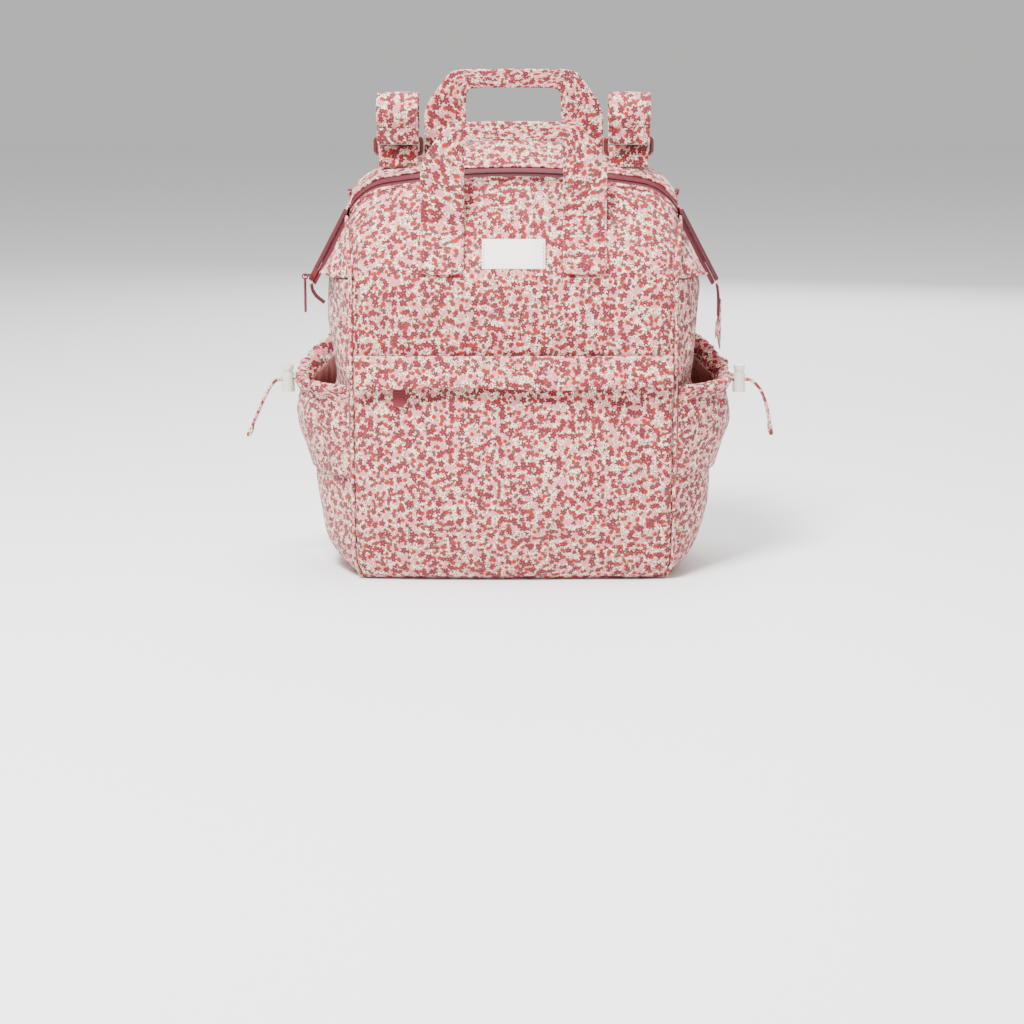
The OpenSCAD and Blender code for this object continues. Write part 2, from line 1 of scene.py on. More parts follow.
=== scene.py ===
"""A soft flower-print changing bag: a wide zipped mouth on sprung wires, two carry handles, drawstring
side pockets, a zipped front pocket, and two straps that wrap a pram's handlebar."""
import math

import bpy
import numpy as np
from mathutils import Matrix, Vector, noise
from mathutils.bvhtree import BVHTree


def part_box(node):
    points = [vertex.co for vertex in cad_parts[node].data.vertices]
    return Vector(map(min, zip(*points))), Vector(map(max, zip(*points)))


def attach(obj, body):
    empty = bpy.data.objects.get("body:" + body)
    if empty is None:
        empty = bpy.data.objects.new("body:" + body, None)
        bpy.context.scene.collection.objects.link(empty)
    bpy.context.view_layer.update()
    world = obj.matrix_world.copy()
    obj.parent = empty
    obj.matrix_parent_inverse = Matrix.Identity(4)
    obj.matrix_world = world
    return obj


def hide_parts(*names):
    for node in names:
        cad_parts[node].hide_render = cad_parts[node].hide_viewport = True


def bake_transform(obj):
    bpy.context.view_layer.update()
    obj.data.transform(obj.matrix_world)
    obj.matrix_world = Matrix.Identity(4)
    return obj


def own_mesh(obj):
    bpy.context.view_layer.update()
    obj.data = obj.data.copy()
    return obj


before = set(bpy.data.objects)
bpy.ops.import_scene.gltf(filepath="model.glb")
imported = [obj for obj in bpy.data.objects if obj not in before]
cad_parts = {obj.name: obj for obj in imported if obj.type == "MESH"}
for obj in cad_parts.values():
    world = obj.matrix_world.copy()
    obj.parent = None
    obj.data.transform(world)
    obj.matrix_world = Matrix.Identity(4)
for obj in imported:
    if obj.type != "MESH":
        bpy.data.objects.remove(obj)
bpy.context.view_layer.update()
mm = 0.001

# ---- Camera and studio ---------------------------------------------------------------------------
# A long lens looks slightly down on the bag from the front. A pale floor, and big soft lights round it.
camera = bpy.data.objects.new("camera", bpy.data.cameras.new("camera"))
bpy.context.scene.collection.objects.link(camera)
camera.location = (-0.0016, -2.323, 0.538)
camera.rotation_euler = (math.radians(90 - 11.8), 0, 0)
camera.data.lens = 80.9
bpy.context.scene.camera = camera


def soft_light(name, place, size, power):
    """A square area light that faces the middle of the bag."""
    lamp = bpy.data.objects.new(name, bpy.data.lights.new(name, "AREA"))
    lamp.data.size, lamp.data.energy = size, power
    lamp.location = place
    lamp.rotation_euler = (Vector((0, 0, 0.25)) - Vector(place)).to_track_quat("-Z", "Y").to_euler()
    bpy.context.scene.collection.objects.link(lamp)


soft_light("key_light", (-0.7, -1.4, 2.4), 0.7, 205)
soft_light("fill_light", (1.9, -1.9, 0.9), 1.8, 13)
soft_light("top_light", (0.1, 0.1, 2.5), 1.3, 62)
soft_light("back_light", (0.6, 2.3, 1.2), 1.6, 34)
sky = bpy.data.worlds.new("sky")
bpy.context.scene.world = sky
sky.use_nodes = True
sky.node_tree.nodes["Background"].inputs[0].default_value = (1.0, 0.99, 0.98, 1)
sky.node_tree.nodes["Background"].inputs[1].default_value = 0.60

floor_mesh = bpy.data.meshes.new("floor")
floor_mesh.from_pydata([(-9, -9, 0), (9, -9, 0), (9, 9, 0), (-9, 9, 0)], [], [(0, 1, 2, 3)])
floor = bpy.data.objects.new("floor", floor_mesh)
floor.location.z = -0.0005
bpy.context.scene.collection.objects.link(floor)


class Shade:
    """One output of a shader node. Arithmetic on it adds the Math nodes."""

    def __init__(self, tree, socket):
        self.tree, self.socket = tree, socket

    def node(self, kind, settings=None, sockets=None, out=0):
        made = self.tree.nodes.new("ShaderNode" + kind)
        for key, value in (settings or {}).items():
            setattr(made, key, value)
        for key, value in (sockets or {}).items():
            if isinstance(value, Shade):
                self.tree.links.new(value.socket, made.inputs[key])
            else:
                made.inputs[key].default_value = value
        return Shade(self.tree, made.outputs[out])

    def other(self, out):
        return Shade(self.tree, self.socket.node.outputs[out])

    def math(self, operation, *rest, clamp=False):
        sockets = dict(enumerate((self, *rest)))
        return self.node("Math", {"operation": operation, "use_clamp": clamp}, sockets)

    def vector(self, operation, other=None, out=0):
        sockets = {0: self} if other is None else {0: self, 1: other}
        return self.node("VectorMath", {"operation": operation}, sockets, out)

    def clamp(self):
        return self.math("ADD", 0.0, clamp=True)

    def over(self, colour, mask):
        """This colour with another one laid over it where the mask is 1."""
        return self.node("Mix", {"data_type": "RGBA"}, {0: mask, 6: self, 7: colour}, out=2)

    def __add__(self, other):
        return self.math("ADD", other)

    def __sub__(self, other):
        return self.math("SUBTRACT", other)

    def __rsub__(self, other):
        return (self * -1.0) + other

    def __mul__(self, other):
        return self.math("MULTIPLY", other)

    __radd__ = __add__
    __rmul__ = __mul__


def colour(red, green, blue):
    """A screen colour as the linear one that shaders use."""
    linear = [((c + 0.055) / 1.055)**2.4 if c > 0.04 else c / 12.92 for c in (red, green, blue)]
    return (*linear, 1.0)


def material(name, roughness, laid="cloth", **fixed):
    """A new material, its shader with its constants set, and the place on the cloth or in the solid."""
    made = bpy.data.materials.new(name)
    made.use_nodes = True
    shader = made.node_tree.nodes["Principled BSDF"]
    shader.inputs["Roughness"].default_value = roughness
    for key, value in fixed.items():
        shader.inputs[key.replace("_", " ")].default_value = value
    kind, out = ("ShaderNodeUVMap", 0) if laid == "cloth" else ("ShaderNodeTexCoord", 3)
    start = made.node_tree.nodes.new(kind)
    if laid == "cloth":
        start.uv_map = "cloth"
    return made, shader, Shade(made.node_tree, start.outputs[out])


floor_paint, floor_shader, _ = material("floor_paint", 0.75, "solid")
floor_shader.inputs["Base Color"].default_value = colour(0.97, 0.97, 0.97)
floor_mesh.materials.append(floor_paint)


# ---- Printed cotton ------------------------------------------------------------------------------
# The outer cloth: a cream cotton canvas with a small all-over print of five-petalled flowers, buds,
# berries and leaves in wine red, coral and pale pink. The pattern is laid out in metres of cloth.
def join(shader, name, value):
    value.tree.links.new(value.socket, shader.inputs[name])


def mottled(place, low, high, scale):
    """Two close colours that drift into each other."""
    drift = place.node("TexNoise", sockets={"Vector": place, "Scale": scale, "Detail": 4.0})
    return drift.node("Mix", {"data_type": "RGBA"}, {0: drift, 6: low, 7: high}, out=2), drift


def bump(shader, raised, distance, strength=0.6):
    sockets = {"Strength": strength, "Distance": distance, "Height": raised}
    join(shader, "Normal", raised.node("Bump", sockets=sockets))


def scatter(place, pitch, shift):
    """Jittered cells over the cloth: distance and angle from the cell's heart, and the cell's luck."""
    moved = place.vector("ADD", (shift, 1.7 * shift, 0))
    heart = moved.node("TexVoronoi", {"voronoi_dimensions": "2D"},
                       {"Vector": moved, "Scale": 1 / pitch, "Randomness": 0.92}, out="Position")
    luck = heart.node("SeparateColor", sockets={0: heart.other("Color")})
    arm = moved.vector("SUBTRACT", heart)
    split = arm.node("SeparateXYZ", sockets={0: arm})
    turn = split.other("Y").math("ARCTAN2", split) + luck.other("Green") * 6.28
    return arm.vector("LENGTH", out="Value"), turn, luck


def motif(cell, petals, reach, notch, low, high):
    """Masks of a flower and of its eye, in the cells whose luck is between low and high."""
    crisp = 3500.0
    far, turn, luck = cell
    lobes = (turn * (petals / 2)).math("COSINE").math("ABSOLUTE")
    edge = (lobes * notch + (1 - notch)) * (luck.other("Blue") * 0.3 + 0.85) * reach
    chosen = luck.math("GREATER_THAN", low) * luck.math("LESS_THAN", high)
    petal = ((edge - far) * crisp).clamp() * chosen
    eye = ((reach * 0.17 - far) * crisp).clamp() * chosen
    return petal, eye


def printed_cotton(name):
    """The print: stems on a cream ground, six layers of flowers and leaves, and berries in the gaps."""
    cotton, shader, place = material(name, 0.88, Sheen_Weight=0.15, Sheen_Roughness=0.5)
    ground, _ = mottled(place, colour(0.965, 0.885, 0.790), colour(0.930, 0.830, 0.730), 30.0)
    # Thin tangled stems: the level lines of two noises
    for scale, level in ((170.0, 0.5), (250.0, 0.48)):
        vine = place.node("TexNoise", {"noise_dimensions": "2D"},
                          {"Vector": place, "Scale": scale, "Detail": 1.0})
        line = 1.0 - ((vine - level).math("ABSOLUTE") * 27.0).clamp()
        ground = ground.over(colour(0.42, 0.24, 0.21), line * 0.95)
    layers = (
        # pitch, shift, petals, reach, notch, luck from, to, petals' tint, eye's tint
        (0.0086, 0.003, 5, 0.00380, 0.26, 0.00, 0.85, (0.830, 0.515, 0.530), (0.66, 0.30, 0.33)),
        (0.0078, 0.023, 2, 0.00330, 0.66, 0.00, 0.55, (0.420, 0.210, 0.190), (0.42, 0.21, 0.19)),
        (0.0078, 0.023, 3, 0.00270, 0.60, 0.60, 0.85, (0.410, 0.100, 0.130), (0.34, 0.05, 0.08)),
        (0.0092, 0.041, 6, 0.00250, 0.22, 0.00, 0.80, (0.610, 0.095, 0.070), (0.42, 0.06, 0.09)),
        (0.0092, 0.041, 4, 0.00260, 0.60, 0.80, 1.00, (0.400, 0.045, 0.085), (0.36, 0.05, 0.08)),
        (0.0098, 0.067, 5, 0.00370, 0.48, 0.00, 0.70, (0.420, 0.070, 0.130), (0.66, 0.30, 0.33)),
    )
    cells, taken = {}, None
    for pitch, shift, petals, reach, notch, low, high, tint, eye_tint in layers:
        if shift not in cells:
            cells[shift] = scatter(place, pitch, shift)
        petal, eye = motif(cells[shift], petals, reach, notch, low, high)
        ground = ground.over(colour(*tint), petal).over(colour(*eye_tint), eye)
        taken = petal if taken is None else taken.math("MAXIMUM", petal)
    # Berries and specks in the gaps
    small = scatter(place, 0.0024, 0.083)
    fillers = (
        # petals, reach, notch, luck from, to, tint
        (3, 0.00095, 0.15, 0.00, 0.30, (0.400, 0.045, 0.085)),
        (3, 0.00095, 0.15, 0.30, 0.45, (0.600, 0.070, 0.045)),
        (4, 0.00110, 0.30, 0.45, 0.62, (0.790, 0.420, 0.450)),
        (2, 0.00125, 0.60, 0.62, 0.80, (0.400, 0.200, 0.170)),
    )
    for petals, reach, notch, low, high, tint in fillers:
        petal, _ = motif(small, petals, reach, notch, low, high)
        ground = ground.over(colour(*tint), petal * (1.0 - taken))
    join(shader, "Base Color", ground)
    # Plain weave, and soft crumples
    grain = place.node("SeparateXYZ", sockets={0: place})
    yarns = 7400.0
    weave = (grain * yarns).math("SINE") * (grain.other("Y") * yarns).math("SINE")
    crumple = place.node("TexNoise", sockets={"Vector": place, "Scale": 46.0, "Detail": 5.0,
                                              "Roughness": 0.55})
    bump(shader, weave * 0.05 + crumple * 1.3, 0.0020)
    return cotton


cotton = printed_cotton("printed_cotton")


# ---- Lining cloth --------------------------------------------------------------------------------
# Smooth dusty rose polyester with a small woven spot. It backs every outer panel, so it shows inside
# the side pockets and the open mouth.
lining, lining_shader, lining_place = material("rose_lining", 0.62, Sheen_Weight=0.15)
plain, drift = mottled(lining_place, colour(0.62, 0.38, 0.36), colour(0.55, 0.32, 0.31), 25.0)
spot, _ = motif(scatter(lining_place, 0.0105, 0.0), 4, 0.0012, 0.2, 0.0, 0.9)
join(lining_shader, "Base Color", plain.over(colour(0.40, 0.16, 0.18), spot))
bump(lining_shader, drift, 0.0010, 0.5)

# ---- Sewing thread -------------------------------------------------------------------------------
# Rose polyester thread, twisted, for all the topstitching. Its colour is painted shade: the real thread
# is pale rose, and it is dyed dark so that the stitch rows stand in for the shadow in their dimples
# and along seams and edges.
def dyed(name, roughness, low, high, scale, laid="solid", **fixed):
    """A finish whose colour drifts between two close ones."""
    made, shader, place = material(name, roughness, laid, **fixed)
    tint, drift = mottled(place, colour(*low), colour(*high), scale)
    join(shader, "Base Color", tint)
    return made, shader, place, drift


# Dark rose: painted shade of the stitch dimples and of the lines along seams and edges.
shade_dark_thread, shader, _, drift = dyed("rose_thread", 0.6, (0.40, 0.17, 0.17), (0.32, 0.12, 0.12), 900.0,
                                Sheen_Weight=0.2)
bump(shader, drift, 0.0002, 0.5)


# ---- Front: the wall behind the pocket and the front half of the mouth ----------------------------
# One padded panel of printed cotton between the two corner seams. It bends at the foot of the sprung
# mouth, and its top hem holds the frame wire and is sewn to the zip along the arch.
bend_z = 300 * mm
seam_x = 157 * mm
mouth_y = -26 * mm
mouth_z = 400.5 * mm
bow = 4 * mm
side_bulge = np.array([(0, 163), (7, 172), (15, 179), (33, 189), (69, 198), (100, 200), (125, 196),
                       (150, 197), (172, 190), (190, 179), (200, 179), (215, 182), (250, 185),
                       (300, 187)]) * mm
seam_draw = np.array([(0, 8), (10, 2), (25, 0), (300, 0)]) * mm
half_depth = np.array([(0, 70), (15, 78), (40, 83), (100, 88), (200, 87), (300, 82)]) * mm
crown_r, corner_x, corner_r = 800 * mm, 126 * mm, 52.4 * mm
slope = math.radians(62)
half_top = 163 * mm
tilt = math.radians(30)
tape_w = 10 * mm
reach, fall = tape_w * math.cos(tilt), tape_w * math.sin(tilt)
lead = math.asin(corner_x / crown_r)
corner_z = mouth_z - corner_x**2 / (2 * crown_r)
slope_x = corner_x + corner_r * (math.sin(slope) - math.sin(lead))
slope_z = corner_z - corner_r * (math.cos(lead) - math.cos(slope))


def read(table, height, top=0.3, steps=301, near=7, **ends):
    """A reading of a table, its corners rounded by averaging over the near steps on each side."""
    fine = np.linspace(0, top, steps)
    rough = np.interp(fine, table[:, 0], table[:, 1])
    window = np.ones(2 * near + 1) / (2 * near + 1)
    soft = np.convolve(np.pad(rough, near, **(ends or {"mode": "edge"})), window, "valid")
    return np.interp(height, fine, soft)


def arch_z(x):
    """Height of the zip's line over a distance from the middle: crown, round corner, straight slope."""
    a = np.abs(x)
    bent = np.clip(math.sin(lead) + (a - corner_x) / corner_r, 0, 0.999)
    corner = corner_z - corner_r * (math.cos(lead) - np.sqrt(1 - bent**2))
    straight = slope_z - (a - slope_x) * math.tan(slope)
    return np.where(a <= corner_x, mouth_z - a**2 / (2 * crown_r), np.where(a <= slope_x, corner, straight))


def front_point(u, z):
    """On the front wall: u from -1 to 1 between its seams, z its height. The back wall is its mirror."""
    half = seam_x - read(seam_draw, z)
    return np.stack([half * u, -read(half_depth, z) - bow * (1 - u * u), z + 0 * u], -1)


def mouth_point(u, w):
    """On the front half of the mouth: w from 0 at the bend to 1 at the zip tape."""
    x = (seam_x + (half_top - seam_x) * w) * u
    low = np.stack([x, -read(half_depth, bend_z) - bow * (1 - u * u), bend_z + 0 * u], -1)
    top = np.stack([x, mouth_y - reach - 0.8 * mm + 0 * u, arch_z(half_top * u) - fall - 0.8 * mm], -1)
    # The wire's channel stands out under the zip, above a sewn groove
    channel = 2.4 * np.clip(np.sin(np.pi * np.clip((w - 0.77) / 0.23, 0, 1)), 0, 1)
    groove = 1.4 * np.exp(-((w - 0.76) / 0.02)**2)
    swell = (5 * np.sin(np.pi * w) + channel - groove) * mm
    return low + (top - low) * w - np.array([0, 1, 0]) * swell


def add_piece(name, mesh, *finishes):
    """Puts a mesh in the scene, smoothly shaded, with its finishes."""
    mesh.shade_smooth()
    for finish in finishes:
        mesh.materials.append(finish)
    piece = bpy.data.objects.new(name, mesh)
    bpy.context.scene.collection.objects.link(piece)
    return piece


def cloth(name, grid, facing, wrap=False, caps=False, finish=None, inside=None):
    """A sheet over a grid of points, its cloth coordinates in metres and its face turned outwards."""
    n, m = grid.shape[:2]
    ring = m if wrap else m - 1
    faces = [(i * m + j, i * m + (j + 1) % m, (i + 1) * m + (j + 1) % m, (i + 1) * m + j)
             for i in range(n - 1) for j in range(ring)]
    closed = np.concatenate([grid, grid[:, :1]], 1) if wrap else grid
    across = np.r_[0, np.cumsum(np.linalg.norm(np.diff(closed, axis=1), axis=2).mean(0))]
    along = np.r_[0, np.cumsum(np.linalg.norm(np.diff(grid, axis=0), axis=2).mean(1))]
    start = (sum(map(ord, name)) % 97) * 0.013
    corners = [(start + across[j + dj], 1.3 * start + along[i + di])
               for i in range(n - 1) for j in range(ring) for di, dj in ((0, 0), (0, 1), (1, 1), (1, 0))]
    if caps:
        faces += [tuple(range(m - 1, -1, -1)), tuple(range((n - 1) * m, n * m))]
        corners += [(start, start)] * (2 * m)
    mesh = bpy.data.meshes.new(name)
    mesh.from_pydata(grid.reshape(-1, 3).tolist(), [], faces)
    mesh.uv_layers.new(name="cloth").data.foreach_set("uv", np.array(corners, np.float32).ravel())
    normals = np.array([p.normal for p in mesh.polygons])
    if wrap:
        middle = np.array([p.center for p in mesh.polygons])[:(n - 1) * m]
        axis = np.repeat(grid.mean(1), m, axis=0)[:(n - 1) * m]
        outward = (normals[:(n - 1) * m] * (middle - axis)).sum()
    else:
        outward = (normals @ np.array(facing, float)).sum()
    if outward < 0:
        mesh.flip_normals()
    return add_piece(name, mesh, finish or cotton, inside or lining)


def settle(piece, pinned, growth=0.012, cap=5 * mm, frames=14):
    """Cloth simulation: the sheet is cut a little too big for its seams and buckles between them.

    Most of the movement inwards is taken back, so that the lining behind stays covered."""
    group = piece.vertex_groups.new(name="seams")
    group.add([int(i) for i in np.flatnonzero(pinned)], 1.0, "ADD")
    rest = np.array([v.co for v in piece.data.vertices])
    sim = piece.modifiers.new("settle", "CLOTH")
    sim.settings.quality = 6
    sim.settings.mass = 0.2
    sim.settings.bending_stiffness = 0.35
    sim.settings.tension_stiffness = sim.settings.compression_stiffness = 12
    sim.settings.vertex_group_mass = "seams"
    sim.settings.shrink_min = -growth
    sim.settings.effector_weights.gravity = 0
    sim.collision_settings.use_collision = False
    sim.point_cache.frame_start, sim.point_cache.frame_end = 1, frames
    for number in range(1, frames + 1):
        bpy.context.scene.frame_set(number)
    shaped = piece.evaluated_get(bpy.context.evaluated_depsgraph_get())
    moved = np.array([v.co for v in shaped.data.vertices]) - rest
    normals = np.array([v.normal for v in piece.data.vertices])
    inward = np.minimum((moved * normals).sum(1, keepdims=True), 0)
    moved -= 0.75 * inward * normals
    moved *= np.minimum(1, cap / np.maximum(np.linalg.norm(moved, axis=1, keepdims=True), 1e-9))
    piece.modifiers.remove(sim)
    piece.vertex_groups.remove(piece.vertex_groups["seams"])
    piece.data.vertices.foreach_set("co", (rest + moved).astype(np.float32).ravel())
    bpy.context.scene.frame_set(1)


def thicken(piece, thick, levels=1, backed=True):
    """Cloth of a real thickness, backed with lining, with softly rounded edges."""
    shell = piece.modifiers.new("thickness", "SOLIDIFY")
    shell.thickness, shell.offset, shell.use_even_offset = thick, -1, False
    shell.material_offset = 1 if backed else 0
    soft = piece.modifiers.new("softness", "SUBSURF")
    soft.levels = soft.render_levels = levels
    return piece


def rumple(grid, amount, size, seed, direction=None, fade=None):
    """Moves a grid's points in and out by a smooth noise."""
    flat = grid.reshape(-1, 3)
    waves = np.array([noise.noise(Vector(p) / size + Vector((seed, 3 * seed, seed))) for p in flat])
    if direction is None:
        normal = np.cross(np.gradient(grid, axis=1), np.gradient(grid, axis=0))
        normal /= np.maximum(np.linalg.norm(normal, axis=-1, keepdims=True), 1e-9)
    else:
        normal = np.array(direction, float)
    shift = (amount * waves).reshape(grid.shape[:2] + (1,))
    return grid + normal * shift * (1 if fade is None else fade[..., None])


def borders(grid, deep=1):
    """Mask of a grid's edge points."""
    mask = np.ones(grid.shape[:2], bool)
    mask[deep:-deep, deep:-deep] = False
    return mask


def distances(line):
    """How far along a line each of its points is."""
    return np.r_[0, np.cumsum(np.linalg.norm(np.diff(line, axis=0), axis=1))]


def place_at(line, far, run):
    """The place that is run along a line, given its distances."""
    return Vector([float(np.interp(run, far, line[:, k])) for k in range(3)])


def tube_faces(first, rings, sides):
    """The faces of a short closed tube whose points start at first."""
    faces = []
    for low in range(first, first + (rings - 1) * sides, sides):
        faces += [(low + k, low + (k + 1) % sides, low + sides + (k + 1) % sides, low + sides + k)
                  for k in range(sides)]
    last = first + (rings - 1) * sides
    return faces + [tuple(range(first + sides - 1, first - 1, -1)), tuple(range(last, last + sides))]


def topstitch(name, lines, base, pitch=3.7 * mm, length=2.6 * mm, thick=0.42 * mm):
    """A row of short raised threads along each line, laid on the surface of the piece under it."""
    graph = bpy.context.evaluated_depsgraph_get()
    graph.update()
    ground = BVHTree.FromObject(base, graph)
    points, faces = [], []
    for line in lines:
        line = np.asarray(line)
        far = distances(line)
        for begin in np.arange(0, far[-1] - length, pitch):
            laid = []
            for step, rise in ((0, -0.15), (0.5, 0.25), (1, -0.15)):
                spot = place_at(line, far, begin + step * length)
                hit, normal, _, _ = ground.find_nearest(spot)
                if normal.dot(spot - hit) < 0:
                    normal = -normal
                laid.append(hit + normal * rise * mm)
            ahead = (laid[2] - laid[0]).normalized()
            side = ahead.cross(normal).normalized()
            faces += tube_faces(len(points), 3, 5)
            for spot, size in zip(laid, (0.5, 1, 0.5)):
                points += [spot + (side * math.cos(a) + normal * math.sin(a)) * thick * size
                           for a in (0, 1.257, 2.513, 3.77, 5.027)]
    mesh = bpy.data.meshes.new(name)
    mesh.from_pydata([tuple(p) for p in points], [], faces)
    piece = add_piece(name, mesh, shade_dark_thread)
    return piece


def bend_front(piece):
    """Bakes the piece's placement into its mesh."""
    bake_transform(piece)


def crowded(count):
    """Places from -1 to 1, closer together near the ends, where the seams pull the cloth in."""
    even = np.linspace(-1, 1, count)
    return 0.55 * even + 0.45 * np.sin(even * math.pi / 2)


def pinched(u, half, run, depth):
    """How far a panel is drawn in beside its seams, fading over a run."""
    return depth * np.exp(-(1 - np.abs(u)) * half / run)


def between_seams(u, rate):
    """1 over the middle of a panel, falling to 0 at its seams."""
    return np.clip((1 - np.abs(u)) * rate, 0, 1)


slider_z = 212 * mm
seam_u = 0.968
u = crowded(97)
rows = [front_point(u, z) for z in np.r_[np.linspace(3, 186, 14), np.linspace(194, 298, 26)] * mm]
rows += [mouth_point(u, w) for w in np.linspace(0.02, 1, 40)]
# The hem rolls over the edge of the zip tape
hem = ((-37.2, -5.6), (-36.2, -3.8), (-34.4, -2.4), (-32.6, -2.3))
rows += [np.stack([half_top * u, y * mm + 0 * u, arch_z(half_top * u) + z * mm], -1) for y, z in hem]
front_grid = np.array(rows)
front_grid[:, :, 1] += pinched(u, seam_x, 3 * mm, 5 * mm)
# A shallow dent along the pocket's zip leaves room for its slider
front_grid[:, :, 1] += 3.5 * mm * np.exp(-((front_grid[:, :, 2] - slider_z) / (14 * mm))**2)
front_grid = rumple(front_grid, 2.4 * mm, 55 * mm, 2.0, (0, 1, 0), between_seams(u, 6))
front = cloth("front_panel", front_grid, (0, -1, 0))
settle(front, borders(front_grid, 5), growth=0.010, cap=4 * mm)
thicken(front, 2 * mm)
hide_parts("front_wall", "front_mouth_panel", "front_frame_wire")
bend_front(front)
proud = np.array([0, -3, 0]) * mm
channel_seam = mouth_point(np.linspace(-0.97, 0.97, 260), 0.755) + proud
# Rows of the dark thread beside the corner seams: real topstitching, whose dark colour also stands in as
# painted shade in the seam's crease.
side_seams = [np.array([front_point(np.array(s * seam_u), z) for z in np.linspace(236, 299, 20) * mm]
                       + [mouth_point(np.array(s * seam_u), w) for w in np.linspace(0.02, 0.72, 30)]) + proud
              for s in (-1, 1)]
front_stitching = topstitch("front_stitching", [channel_seam] + side_seams, front)
bend_front(front_stitching)


# ---- Back: the wall against the wearer and the rear half of the mouth -----------------------------
# The same padded cotton. It leans in as a wide shoulder over the frame wire, then drops to the zip.
shoulder_lean = 64 * mm
rear_lean = np.array([(0, 0), (0.25, 9 * mm), (0.5, 24 * mm), (0.75, 44 * mm), (1, shoulder_lean)])


def ridge_z(x):
    """Height of the rear shoulder over a distance from the middle."""
    return arch_z(x) + (16 + 14.5 * np.maximum(0, 1 - (x / (110 * mm))**2)) * mm


def lean(w):
    """How far the rear half leans in, from the bend at 0 to the shoulder at 1."""
    return read(rear_lean, w, 1, 101, 8, mode="reflect", reflect_type="odd")


def rear_point(u, w):
    """On the rear half of the mouth: w from 0 at the bend to 1 at the shoulder and 2 at the zip tape."""
    x = (seam_x + (half_top - seam_x) * min(w, 1)) * u
    ridge = ridge_z(half_top * u)
    back = read(half_depth, bend_z) + bow * (1 - u * u)
    tape_z = arch_z(half_top * u) + fall + 0.6 * mm
    if w <= 1:
        return np.stack([x, back - lean(w), bend_z + (ridge - bend_z) * w], -1)
    shoulder = back - shoulder_lean
    y = shoulder + (mouth_y + reach + 0.8 * mm - shoulder) * (w - 1)
    return np.stack([x, y, ridge + (tape_z - ridge) * (w - 1)**1.6], -1)


def bend_rear(piece):
    """Bakes the piece's placement into its mesh."""
    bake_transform(piece)


rows = [front_point(u, z) * (1, -1, 1) for z in np.linspace(3, 298, 40) * mm]
rows += [rear_point(u, w) for w in np.r_[np.linspace(0.03, 1, 26), np.linspace(1.06, 1.94, 16)]]
hem = ((-16.2, 7.3), (-17.6, 7.4), (-18.8, 6.2))
rows += [np.stack([half_top * u, y * mm + 0 * u, arch_z(half_top * u) + z * mm], -1) for y, z in hem]
rear_grid = np.array(rows)
rear_grid[:40, :, 1] -= pinched(u, seam_x, 4 * mm, 4.2 * mm)
rear_grid = rumple(rear_grid, 2.4 * mm, 60 * mm, 5.0, (0, 1, 0), between_seams(u, 6))
rear = cloth("rear_panel", rear_grid, (0, 1, 0.2))
settle(rear, borders(rear_grid, 4), growth=0.010, cap=4 * mm)
thicken(rear, 2 * mm)
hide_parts("back_panel", "rear_mouth_panel", "rear_frame_wire")
bend_rear(rear)
proud = np.array([0, 3, 0]) * mm
rear_seams = [np.array([front_point(np.array(s * seam_u), z) * (1, -1, 1)
                        for z in np.linspace(12, 298, 80) * mm]) + proud for s in (-1, 1)]
rear_seams.append(rear_point(np.linspace(-0.96, 0.96, 200), 0.82) + proud)
rear_stitching = topstitch("rear_stitching", rear_seams, rear)
bend_rear(rear_stitching)


# ---- Side gussets --------------------------------------------------------------------------------
# The soft sides, one piece from front seam to back seam. They bulge where the bag is full.
def side_point(s, v, z, out=0.0):
    """On a side: s is -1 for the left, v from -1 at the front seam to 1 at the back one."""
    half = seam_x - read(seam_draw, z)
    swell = (read(side_bulge, z) - half) * (1 - np.abs(v)**2.2)
    return np.stack([s * (half + swell + out), read(half_depth, z) * v, z + 0 * v], -1)


v = crowded(57)
for s, side in ((-1, "left"), (1, "right")):
    side_grid = np.array([side_point(s, v, z) for z in np.linspace(2, 300, 66) * mm])
    side_grid[:, :, 0] -= s * pinched(v, 80 * mm, 3 * mm, 3 * mm)
    side_grid = rumple(side_grid, 3.2 * mm, 45 * mm, 7.0 + s, (1, 0, 0), 1 - v**2)
    gusset = cloth("gusset_" + side + "_cloth", side_grid, (s, 0, 0))
    settle(gusset, borders(side_grid, 2), growth=0.012, cap=4 * mm)
    thicken(gusset, 2 * mm)
    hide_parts("gusset_" + side)
    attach(gusset, "bag_body")


# ---- Corner seams --------------------------------------------------------------------------------
# Bound seams where front, back and sides meet: a cord-like ridge that runs up into the mouth halves.
def swept(path, loop, side):
    """Rings of a cross-section carried along a path, its first direction held near side."""
    path, loop = np.asarray(path, float), np.asarray(loop, float)
    ahead = np.gradient(path, axis=0)
    ahead /= np.linalg.norm(ahead, axis=1, keepdims=True)
    wide = np.array(side, float) - ahead * (ahead @ np.array(side, float))[:, None]
    wide /= np.linalg.norm(wide, axis=1, keepdims=True)
    deep = np.cross(ahead, wide)
    return path[:, None] + wide[:, None] * loop[..., 0:1] + deep[:, None] * loop[..., 1:2]


def oval(wide, deep, count=12, square=1.0):
    """A round or squarish cross-section."""
    a = np.linspace(0, 2 * np.pi, count, endpoint=False)
    c, s = np.cos(a), np.sin(a)
    return np.stack([wide / 2 * np.sign(c) * np.abs(c)**square,
                     deep / 2 * np.sign(s) * np.abs(s)**square], -1)


def closed(name, grid, finish=None):
    """A closed piece over rings of points, in the print or in one finish."""
    return cloth(name, grid, None, wrap=True, caps=True, finish=finish, inside=finish)


